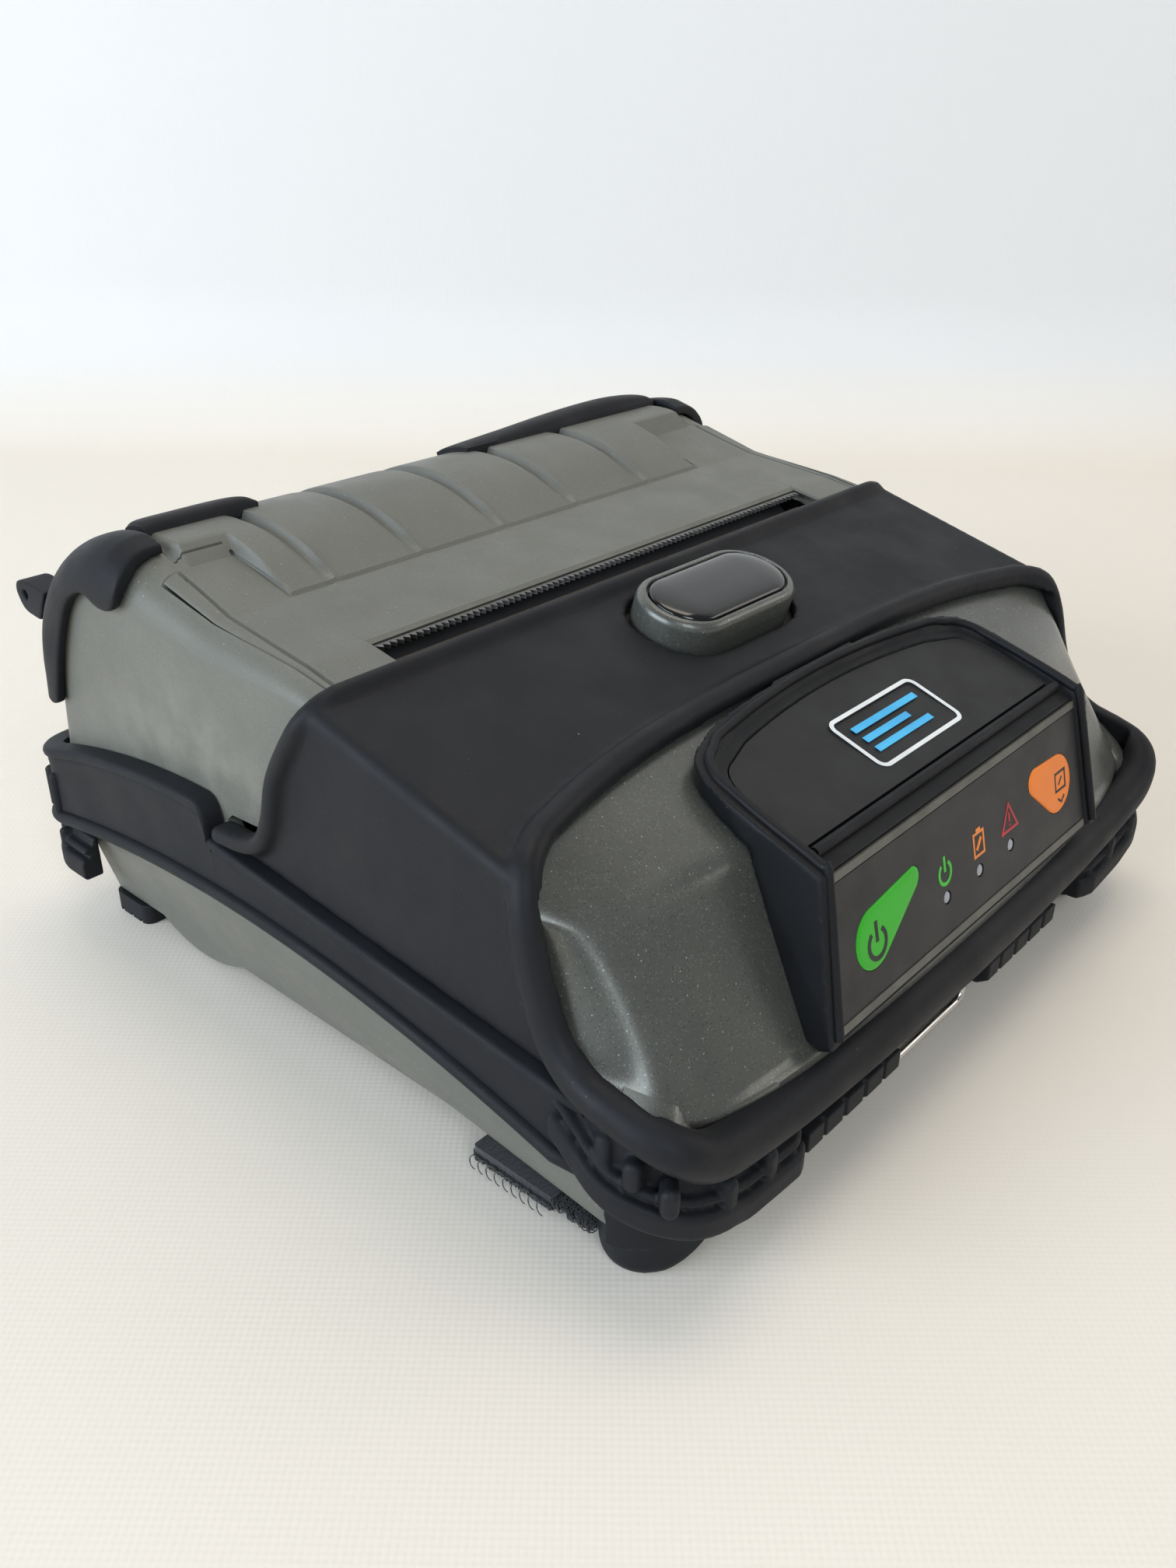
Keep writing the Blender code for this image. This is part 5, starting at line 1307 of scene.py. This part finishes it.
def base_line():
    """The door's side profile, (y, z), from the strip's rear edge to the hinge."""
    line = list(np.linspace(STRIP_REAR, PLATE_REAR, PLATE_ROWS))
    for angle in np.radians(np.linspace(88, 2, 90))[1:]:
        line.append((BULGE_Y + BULGE_R * math.cos(angle), BULGE_Z + (BULGE_R - 0.6) * math.sin(angle)))
    return np.array(line)


def crown_line():
    """The raised back's side profile, (y, z), with as many points as base_line."""
    line = [STRIP_REAR]
    for angle in np.linspace(134.0, 2.0, 118):
        radius = 29.3 + 1.78 * max(0.0, (angle - 100.0) / 34.3) ** 3.5 - 0.3 * max(0.0, (20.0 - angle) / 18.0)
        turn = math.radians(angle)
        line.append((BULGE_Y + radius * math.cos(turn), BULGE_Z + radius * math.sin(turn)))
    return np.array(line)


def door_columns():
    """Places across the door, closer together at the notch, the crown's edges and the grooves."""
    places = set(np.round(np.arange(-1.0, 1.0001, 1 / 48) * DOOR_WIDE, 3))
    for edge in (-SLOT_HALF, SLOT_HALF, CROWN_LEFT, CROWN_RIGHT):
        places |= {round(edge + d, 3) for d in (-0.9, -0.6, -0.35, -0.12, 0.12, 0.35, 0.6, 0.9)}
    for groove in GROOVES:
        places |= {round(groove + d, 3) for d in np.arange(-3.2, 3.21, 0.4)}
    for side in (-1, 1):
        places |= {round(side * (DOOR_WIDE - d), 3) for d in (0.12, 0.3, 0.6)}
    return sorted(p for p in places if abs(p) <= DOOR_WIDE)


def crown_share(x, y):
    """How far the raised back stands out: between the side plates in front, full width behind."""
    between = ease((x - CROWN_LEFT + 0.5) / 1.2) * ease((CROWN_RIGHT + 0.5 - x) / 1.2)
    behind = ease((y - 38.8) / 9.0) * ease((70.6 - abs(x)) / 4.0)
    return max(between, behind)


def strip_height(y):
    """Height of the flat strip behind the slot, and of its arms beside the slot."""
    return 71.2 + (y - 2.0) * (2.0 / 19.8) if y > 2.0 else 70.0 + 0.18 * (y + 5.0)


def door_surface(columns):
    """The door's outer surface as a grid, before its grooves: columns across, rows rearwards."""
    base, crown = base_line(), crown_line()
    grid = np.zeros((len(columns), STRIP_ROWS + len(base), 3))
    for i, x in enumerate(columns):
        front = SLOT_REAR if abs(x) < SLOT_HALF else DOOR_FRONT
        drop = 0.45 * max(0.0, 1.0 - (DOOR_WIDE - abs(x)) / 0.6) ** 2
        for j in range(STRIP_ROWS):
            y = front + (STRIP_REAR[0] - front) * j / STRIP_ROWS
            lip = 0.45 * max(0.0, 1.0 - (y - front) / 0.5) ** 2
            grid[i, j] = (x, y, strip_height(y) - lip - drop)
        for j, (low, high) in enumerate(zip(base, crown)):
            y, z = low + (high - low) * crown_share(x, low[0])
            narrow = (SEAM_R + 0.45 - math.hypot(y - HINGE_Y, z - HINGE_Z)) / 0.9
            half = DOOR_WIDE + (DOOR_NARROW - DOOR_WIDE) * min(1.0, max(0.0, narrow))
            reach = abs(x)
            if reach > NARROW_FROM:
                reach = NARROW_FROM + (reach - NARROW_FROM) * (half - NARROW_FROM) / (DOOR_WIDE - NARROW_FROM)
            grid[i, STRIP_ROWS + j] = (math.copysign(reach, x), y, z - drop)
    return grid


def groove_lift(off, along):
    """How far the surface moves beside a groove: a sharp fold that fades out at its front tip."""
    grow = min(1.0, max(0.0, (along - 0.02) / 0.3))
    reach = 0.8 + 1.1 * grow if off < 0 else 0.5
    hollow = -1.8 * grow * math.exp(-((off / reach) ** 2))
    tip = 0.6 * math.exp(-(((along - 0.1) / 0.09) ** 2)) * math.exp(-(((off - 0.9) / 0.7) ** 2))
    return hollow + tip


# The line along each side plate.
RAIL = (
    (69.7, -5.0, 69.96),
    (69.4, 2.0, 71.16),
    (68.4, 21.8, 73.21),
    (67.8, 30.0, 75.21),
    (67.5, 36.5, 76.86),
)


def build_door():
    columns = door_columns()
    grid = door_surface(columns)
    normal = grid_normals(grid)
    rows = grid.shape[1] - STRIP_ROWS
    for i, x in enumerate(columns):
        if not CROWN_LEFT < x < CROWN_RIGHT:
            continue
        near = [x - groove for groove in GROOVES if abs(x - groove) <= 7.0]
        for j in range(rows):
            lift = -0.3 if j == 1 else 0.0  # a fine line where the flat strip ends
            lift += sum(groove_lift(off, j / (rows - 1)) for off in near)
            grid[i, STRIP_ROWS + j] += normal[i, STRIP_ROWS + j] * lift
    made = thick_sheet("door_shell", grid, 2.4, 35)
    barrel = arc(HINGE_Y, HINGE_Z, KNUCKLE_R, 120, 360)
    barrel += [(BULGE_Y + BULGE_R - 0.8, 51.0), (BULGE_Y + BULGE_R - 2.3, 51.0)]
    fuse(made, *[prism("knuckle", "X", barrel, *sorted((sx * 50.0, sx * 63.0))) for _, sx in HANDS])
    rooms = [rod("bore", "X", HINGE_Y, HINGE_Z, HINGE_BORE, -80, 80)]
    for _, sx in HANDS:
        low, high = sorted((sx * 63.1, sx * 70.0))
        rooms.append(box("lug_room", (low, 60.0, 40.0), (high, 90.0, 49.4)))
        rooms.append(tube("rail", [(sx * x, y, z) for x, y, z in RAIL], [0.42] * len(RAIL), 9))
    for edge, rear in ((CROWN_LEFT - 0.4, CROWN_LEFT - 0.7), (CROWN_RIGHT + 0.4, CROWN_RIGHT + 0.7)):
        path = [(edge, 22.0, 73.35), (edge, 29.0, 75.1), (rear, 36.5, 77.0), (rear, 38.6, 77.6)]
        rooms.append(tube("crown_line", path, [0.45] * 4, 8))
    rooms.append(box("plate_line", (-66.9, 38.3, 77.0), (-57.3, 38.65, 79.0)))
    cut(made, *rooms)
    shade(made.data, 16)
    dress(made, "door", GREY, "grey_case", "media_door")


def arc_section(radius, thick, start, stop, steps=14):
    """A rubber strip's section on the door's rounded back, with soft edges."""
    places = [(radius - 1.7, i / steps) for i in range(steps + 1)]
    for i in range(steps + 1):
        t = 1 - i / steps
        places.append((radius + 0.35 + (thick - 0.35) * (1 - abs(2 * t - 1) ** 3) ** 0.6, t))
    outline = []
    for reach, t in places:
        angle = math.radians(start + (stop - start) * t)
        outline.append((BULGE_Y + reach * math.cos(angle), BULGE_Z + reach * math.sin(angle)))
    return outline


BUMPER_EDGE = (
    (41.0, 80.0), (40.6, 74.6), (42.4, 71.2), (46.5, 70.6), (51.5, 71.9), (57.0, 68.5),
    (62.3, 59.0), (65.4, 50.6), (66.5, 47.6), (69.0, 46.9), (74.0, 47.0),
)
LUG_EDGE = ((72.6, 60.8), (77.2, 61.4), (79.2, 63.4), (79.6, 65.6), (77.6, 67.0), (69.5, 66.6))
# Strips on the door's crest: piece, CAD node, first angle, then (x, how far they stand up).
CRESTS = (
    ("crest_left", "door_strip_left", 72,
     ((-66.0, 1.0), (-64.6, 1.7), (-58.0, 1.8), (-50.0, 1.8), (-45.2, 1.5), (-43.5, 0.7))),
    ("crest_right", "door_strip_right", 66,
     ((7.0, 0.5), (9.0, 0.9), (22.0, 1.7), (38.0, 2.7), (52.0, 3.1), (60.0, 2.7), (64.8, 1.9), (66.0, 1.0))),
)


def build_rear_rubber():
    """Corner bumpers, ribs on the skirt's rear corners, strips on the door's crest, and the lug."""
    edge = [tuple(p) for p in curve_through(BUMPER_EDGE, 5)]
    outline = [*edge, (FAR, 47.2), (FAR, FAR), (41.6, FAR)]
    for hand, sx in HANDS:
        made = pillow(f"bumper_{hand}", roof(-14.0, SEAM_Z), 1.9, SIDE_X + 2.0, case_shoulder)
        keep(made, prism("shape", "X", outline, *sorted((sx * 66.8, sx * FAR))))
        cut(made, pillow("room", roof(-30.0, 10.0), GAP, SIDE_X + GAP, case_shoulder))
        melt(made, 0.38, 4)
        dress(made, "case", RUBBER, "black_rubber", f"rear_bumper_{hand}")
    ribs = []
    corner, radius = 6.0, 9.0
    for _, sx in HANDS:
        for angle in np.radians((8, 30, 52, 74)):
            c, s = math.cos(angle), math.sin(angle)
            place = (sx * (SIDE_X - corner + radius * c), REAR_Y - corner + radius * s, 28.4)
            ribs.append(knob(place, (sx * c, s), 8.6, 1.6))
    dress(merge("corner_ribs", ribs), "case", DEEP_RUBBER, "black_rubber")
    for name, node, start, stations in CRESTS:
        rings = []
        for x, rise in curve_through(stations, 8):
            rings.append([(x, y, z) for y, z in arc_section(29.7, rise, start, 84)])
        dress(loft(name, rings, smooth=50), "door", RUBBER, "black_rubber", node)
    lug = curve_through(LUG_EDGE, 4)
    made = prism("rear_lug", "X", [tuple(p) for p in lug], -74.2, -68.6)
    cut(
        made,
        pillow("room", roof(-30.0, 10.0), 2.3, SIDE_X + 2.4, case_shoulder),
        rod("eye", "X", 76.6, 64.6, 0.9, -80, -60),
    )
    melt(made, 0.25, 3)
    dress(made, "case", DEEP_RUBBER, "black_rubber", "strap_lug")


# --- button, tear bar, label roll ---------------------------------------------------------------


# Levels of the release button and of its dome: how far each grows past the oval, and its height.
BUTTON_LEVELS = (
    (1.8, -4.2), (1.8, -3.0), (0.0, -2.8), (0.0, 2.9), (-0.12, 3.5), (-0.4, 4.0),
    (-0.8, 4.35), (-1.2, 4.5), (-1.55, 4.45), (-1.7, 4.2), (-1.75, 3.4),
)
DOME_LEVELS = (
    (-2.0, 3.3), (-2.0, 4.2), (-2.15, 4.5), (-2.5, 4.72),
    (-3.4, 4.95), (-4.8, 5.12), (-6.4, 5.2), (-8.0, 5.22),
)


def build_button():
    """Oval door release with a soft rim and a glossy dome, square to the band's sloping top."""
    lean = math.atan(BAND_SLOPE)
    c, s = math.cos(lean), math.sin(lean)
    for name, levels, smooth, finish, slot, node in (
        ("button_body", BUTTON_LEVELS, 50, METALLIC, "grey_metallic", "release_button"),
        ("button_dome", DOME_LEVELS, 60, DOME, "gloss_dome", "button_label"),
    ):
        rings = []
        for grow, height in levels:
            outline = rounded(17.2 + grow, 8.6 + grow, 8.5 + grow, 24)
            rings.append(
                [
                    (x, BUTTON_Y + along * c - height * s, band_top(BUTTON_Y) + along * s + height * c)
                    for x, along in outline
                ]
            )
        dress(loft(name, rings, smooth=smooth), "button", finish, slot, node)


def build_tear_bar():
    """A steel strip behind the slot with a saw edge."""
    count, half, root, tip, back = 84, 56.8, 1.35, 0.2, 1.75
    pitch = 2 * half / count
    teeth = [(-57.0, back), (-57.0, root)]
    for i in range(count):
        x = -half + pitch * i
        teeth += [(x, root), (x + pitch / 2, tip)]
    teeth += [(half, root), (57.0, root), (57.0, back)]
    dress(prism("tear_teeth", "Z", teeth, 69.9, 70.6, smooth=20), "door", DARK_STEEL, "steel", "tear_bar")


# Along the platen: x and radius, from the left shaft end over the rubber to the right one.
PLATEN_PROFILE = (
    (-64.6, 2.0), (-57.4, 2.0), (-57.0, 2.3), (-56.9, 5.2), (-56.6, 5.5),
    (56.6, 5.5), (56.9, 5.2), (57.0, 2.3), (57.4, 2.0), (68.6, 2.0),
)


def build_media():
    rings = [[(x, y, z) for y, z in circle(PLATEN_Y, PLATEN_Z, r, 64)] for x, r in PLATEN_PROFILE]
    dress(loft("platen_rubber_roller", rings), "platen", PLATEN, "platen_rubber", "platen_roller")
    roll = rod("label_roll", "X", ROLL_Y, ROLL_Z, ROLL_R, -MEDIA_HALF, MEDIA_HALF, 128)
    cut(roll, rod("hole", "X", ROLL_Y, ROLL_Z, CORE_R + GAP, -80, 80, 96))
    soften(roll, 0.15, 2)
    dress(roll, "roll", PAPER, "label_stock", "paper_roll")
    core = rod("card_tube", "X", ROLL_Y, ROLL_Z, CORE_R, -MEDIA_HALF, MEDIA_HALF, 96)
    cut(core, rod("hole", "X", ROLL_Y, ROLL_Z, 9.0, -80, 80, 96))
    dress(core, "roll", CARD, "card_core", "roll_core")


# --- underside ----------------------------------------------------------------------------------


# Half of the wire bail: across from its middle, and up from its axis.
BAIL_SHAPE = (
    (18.6, 0.0), (16.4, 0.0), (14.2, 0.0), (13.1, -0.5), (12.5, -1.6),
    (12.1, -3.0), (11.0, -4.0), (9.4, -4.3), (5.0, -4.3),
)


def build_underside():
    outline = [(-69.3, 7.6), (-73.6, 8.2), (-75.6, 9.6), (-75.6, 13.0), (-69.3, 13.4)]
    for hand, sx in HANDS:
        low, high = sorted((BAIL_X + sx * 15.0, BAIL_X + sx * 41.0))
        made = prism(f"bail_mount_{hand}", "X", outline, low, high)
        starts = [low + 4.0 + 5.6 * i for i in range(4)]
        grooves = [box("groove", (x, -80, 7.0), (x + 0.9, -74.9, 14.0)) for x in starts]
        cut(made, rod("socket", "X", BAIL_Y, BAIL_Z, 1.1, BAIL_X - 20, BAIL_X + 20, 32), *grooves)
        melt(made, 0.3, 3)
        dress(made, "case", DEEP_RUBBER, "black_rubber", f"bail_bracket_{hand}")
    half = curve_through(BAIL_SHAPE, 6)
    path = [(BAIL_X + u, BAIL_Y, BAIL_Z + v) for u, v in [*half, *(half * [-1, 1])[::-1]]]
    dress(tube("steel_bail", path, [0.8] * len(path), 20), "bail", STEEL, "steel", "wire_bail")
    cover = box("port_flap", (76.4, -32.0, 26.4), (79.2, -8.0, 32.4))
    starts = [-29.4 + 3.4 * i for i in range(6)]
    cut(cover, *[box("ridge", (78.9, y, 27.4), (79.9, y + 1.0, 31.4)) for y in starts])
    melt(cover, 0.25, 3)
    dress(cover, "cover", DEEP_RUBBER, "black_rubber", "port_cover")


def build_fastener():
    """A hook-and-loop strip: a woven base and a pile of tiny nylon loops."""
    draw = random.Random(7)
    low, high = np.array((-73.4, -50.4, 2.6)), np.array((-24.0, -34.0, BASE_Z - GAP))
    size, middle = high - low, (low + high) / 2
    outline = rounded(size[0] / 2, size[1] / 2, 0.5, 3, middle)
    base = prism("fastener_base", "Z", outline, low[2], high[2])
    loops = []
    for i in range(9):
        y = -35.2 - 1.75 * i
        curl = []
        for k in range(13):
            angle = math.radians(200 - 27 * k)
            curl.append((low[0] - 0.35 - 0.1 * k, y + 0.95 * math.cos(angle), 2.3 + 1.0 * math.sin(angle)))
        loops.append(thin_loop(curl, 0.1))
    for _ in range(1900):
        kind = draw.random()
        if kind < 0.3:
            x, y = low[0] + draw.uniform(0.0, 1.2), draw.uniform(low[1] + 0.4, high[1] - 0.4)
        elif kind < 0.55:
            y = draw.uniform(low[1] - 7.4, low[1] + 4.0)
            x = low[0] + draw.uniform(0.1, 1.9)
        else:
            x, y = draw.uniform(low[0] + 0.3, high[0] - 0.3), draw.uniform(low[1] + 0.3, high[1] - 0.3)
        turn = draw.uniform(0, math.pi)
        tall, wide = draw.uniform(0.7, 1.35), draw.uniform(0.5, 0.95)
        top = low[2] + (1.0 if y < low[1] else 0.15)
        path = []
        for k in range(7):
            angle = math.pi * (k / 6 * 1.25 - 0.1)
            reach = wide * math.cos(angle)
            drop = tall * max(-0.2, math.sin(angle))
            path.append((x + reach * math.cos(turn), y + reach * math.sin(turn), top - drop))
        loops.append(thin_loop(path, 0.1))
    pile = merged_loops("fastener_pile", loops)
    dress(base, "case", PILE, "hook_fabric", "fastener_strip")
    dress(pile, "case", PILE, "hook_fabric")


def thin_loop(path, radius):
    """Points and faces of a square wire along a path, closed at both ends."""
    path = [Vector(p) for p in path]
    points, faces = [], []
    for i, here in enumerate(path):
        along = (path[min(i + 1, len(path) - 1)] - path[max(i - 1, 0)]).normalized()
        side = along.cross(Vector((0.31, 0.2, 0.93))).normalized()
        other = along.cross(side)
        points += [here + side * radius, here + other * radius, here - side * radius, here - other * radius]
        if i:
            for k in range(4):
                a, b = 4 * (i - 1) + k, 4 * (i - 1) + (k + 1) % 4
                faces.append((a, b, b + 4, a + 4))
    faces += [(3, 2, 1, 0), tuple(range(len(points) - 4, len(points)))]
    return points, faces


def merged_loops(name, loops):
    """All the wires as one piece."""
    points, faces = [], []
    for new_points, new_faces in loops:
        start = len(points)
        points += new_points
        faces += [tuple(i + start for i in face) for face in new_faces]
    return mesh_piece(name, points, faces, 80)


# --- carried-over CAD nodes -----------------------------------------------------------------------

CARRIED = {
    STEEL: (
        "hinge_pin", "stepper_motor", "gear_bracket", "data_port", "latch_spring", "latch_bar",
        "case_screw_left", "case_screw_right", "motor_pinion",
    ),
    PLASTIC: ("power_jack", "platen_bush_left", "platen_bush_right", "media_guide_left", "media_guide_right"),
    ACETAL: ("platen_gear", "idler_gear", "guide_pinion"),
    BOARD: ("main_board", "keypad_board"),
    CERAMIC: ("print_head",),
    ALUMINIUM: ("head_bracket",),
    CELL: ("battery_pack",),
}
UNBEVELLED = {"latch_spring", "hinge_pin"}


def dress_carried():
    """Gives the CAD nodes that stay their finishes, and a small bevel to all but the round ones."""
    for finish, names in CARRIED.items():
        for name in names:
            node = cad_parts[name]
            for slot in node.material_slots:
                slot.material = finish
            if name not in UNBEVELLED:
                soften(node, 0.12, 2, 40)


# --- stage ----------------------------------------------------------------------------------------

AZIMUTH, PITCH, ROLL = math.radians(-48.77), math.radians(28.27), math.radians(-0.62)
CAMERA_PLACE = Vector((-0.1781, -0.1481, 0.1493))
LENS = 30.91


def look_along():
    """The camera's forward, right and up directions."""
    forward = Vector(
        (-math.sin(AZIMUTH) * math.cos(PITCH), math.cos(AZIMUTH) * math.cos(PITCH), -math.sin(PITCH))
    )
    right = Vector((math.cos(AZIMUTH), math.sin(AZIMUTH), 0.0))
    down = forward.cross(right)
    turned = right * math.cos(ROLL) + down * math.sin(ROLL)
    return forward, turned, -(down * math.cos(ROLL) - right * math.sin(ROLL))


def build_camera():
    forward, right, up = look_along()
    data = bpy.data.cameras.new("camera")
    data.lens = LENS
    data.sensor_width = 36.0
    data.clip_start, data.clip_end = 0.01, 20.0
    made = add_object("camera", data)
    rows = [(right[i], up[i], -forward[i], CAMERA_PLACE[i]) for i in range(3)]
    made.matrix_world = Matrix((*rows, (0.0, 0.0, 0.0, 1.0)))
    bpy.context.scene.camera = made


def build_stage():
    """Cream vinyl table that sweeps up into a pale wall behind the object."""
    wall, bend, tall, near, half = 395.0, 62.0, 1500.0, -5000.0, 5000.0
    section = [(near, 0.0), (-600.0, 0.0), (0.0, 0.0), (wall - bend, 0.0)]
    for i in range(1, 13):
        angle = math.pi / 2 * i / 12
        section.append((wall - bend + bend * math.sin(angle), bend - bend * math.cos(angle)))
    section.append((wall, tall))
    points = [(side, reach, height) for side in (-half, half) for reach, height in section]
    count = len(section)
    faces = [(i, i + 1, count + i + 1, count + i) for i in range(count - 1)]
    floor = mesh_piece("floor", points, faces, 60)
    floor.rotation_euler = (0.0, 0.0, AZIMUTH)
    look = Surface("table_vinyl", 0.55)
    look.blotches((0.83, 0.765, 0.68), 0.012, 8.0)
    height = look.node("ShaderNodeSeparateXYZ")
    look.join(look.place, height.inputs["Vector"])
    look.tint(look.remap(height.outputs["Z"], 0.0, 0.035), (0.78, 0.77, 0.765))
    look.roughen(0.5, 0.62, 60.0)
    look.waves("X", 320.0, 0.012, 0.5)
    look.waves("Y", 320.0, 0.012, 0.5)
    floor.data.materials.append(look.done())


def area_light(name, place, target, size, power, colour):
    data = bpy.data.lights.new(name, "AREA")
    data.shape = "RECTANGLE"
    data.size, data.size_y = size
    data.energy = power
    data.color = colour
    made = add_object(name, data)
    made.location = place
    made.rotation_mode = "QUATERNION"
    made.rotation_quaternion = (Vector(target) - Vector(place)).to_track_quat("-Z", "Y")


def build_light():
    world = bpy.data.worlds.new("studio")
    world.use_nodes = True
    sky = world.node_tree.nodes["Background"]
    sky.inputs["Color"].default_value = (0.93, 0.97, 1.0, 1.0)
    sky.inputs["Strength"].default_value = 0.3
    bpy.context.scene.world = world
    bpy.context.scene.view_settings.view_transform = "Standard"
    area_light("window", (-1.05, 0.3, 0.42), (0, 0, 0.03), (1.0, 0.6), 12.5, (0.76, 0.88, 1.0))
    area_light("ceiling", (0.3, 0.15, 1.3), (0, 0, 0.0), (0.8, 0.8), 7.5, (1.0, 0.9, 0.76))
    area_light("front_window", (-0.55, -0.9, 0.74), (0, -0.05, 0.04), (0.4, 0.6), 5.0, (0.84, 0.93, 1.0))
    area_light("fill", (0.8, -0.7, 0.5), (0, -0.03, 0.04), (0.6, 0.4), 1.6, (1.0, 0.95, 0.88))


for build in (
    build_tub, build_skirt, build_guards, build_feet, build_top_case, build_band, build_bezel,
    build_pod, build_overlay, build_prints, build_nameplate, build_door, build_rear_rubber,
    build_button, build_tear_bar, build_media, build_underside, build_fastener,
    dress_carried, build_stage, build_camera, build_light,
):
    build()
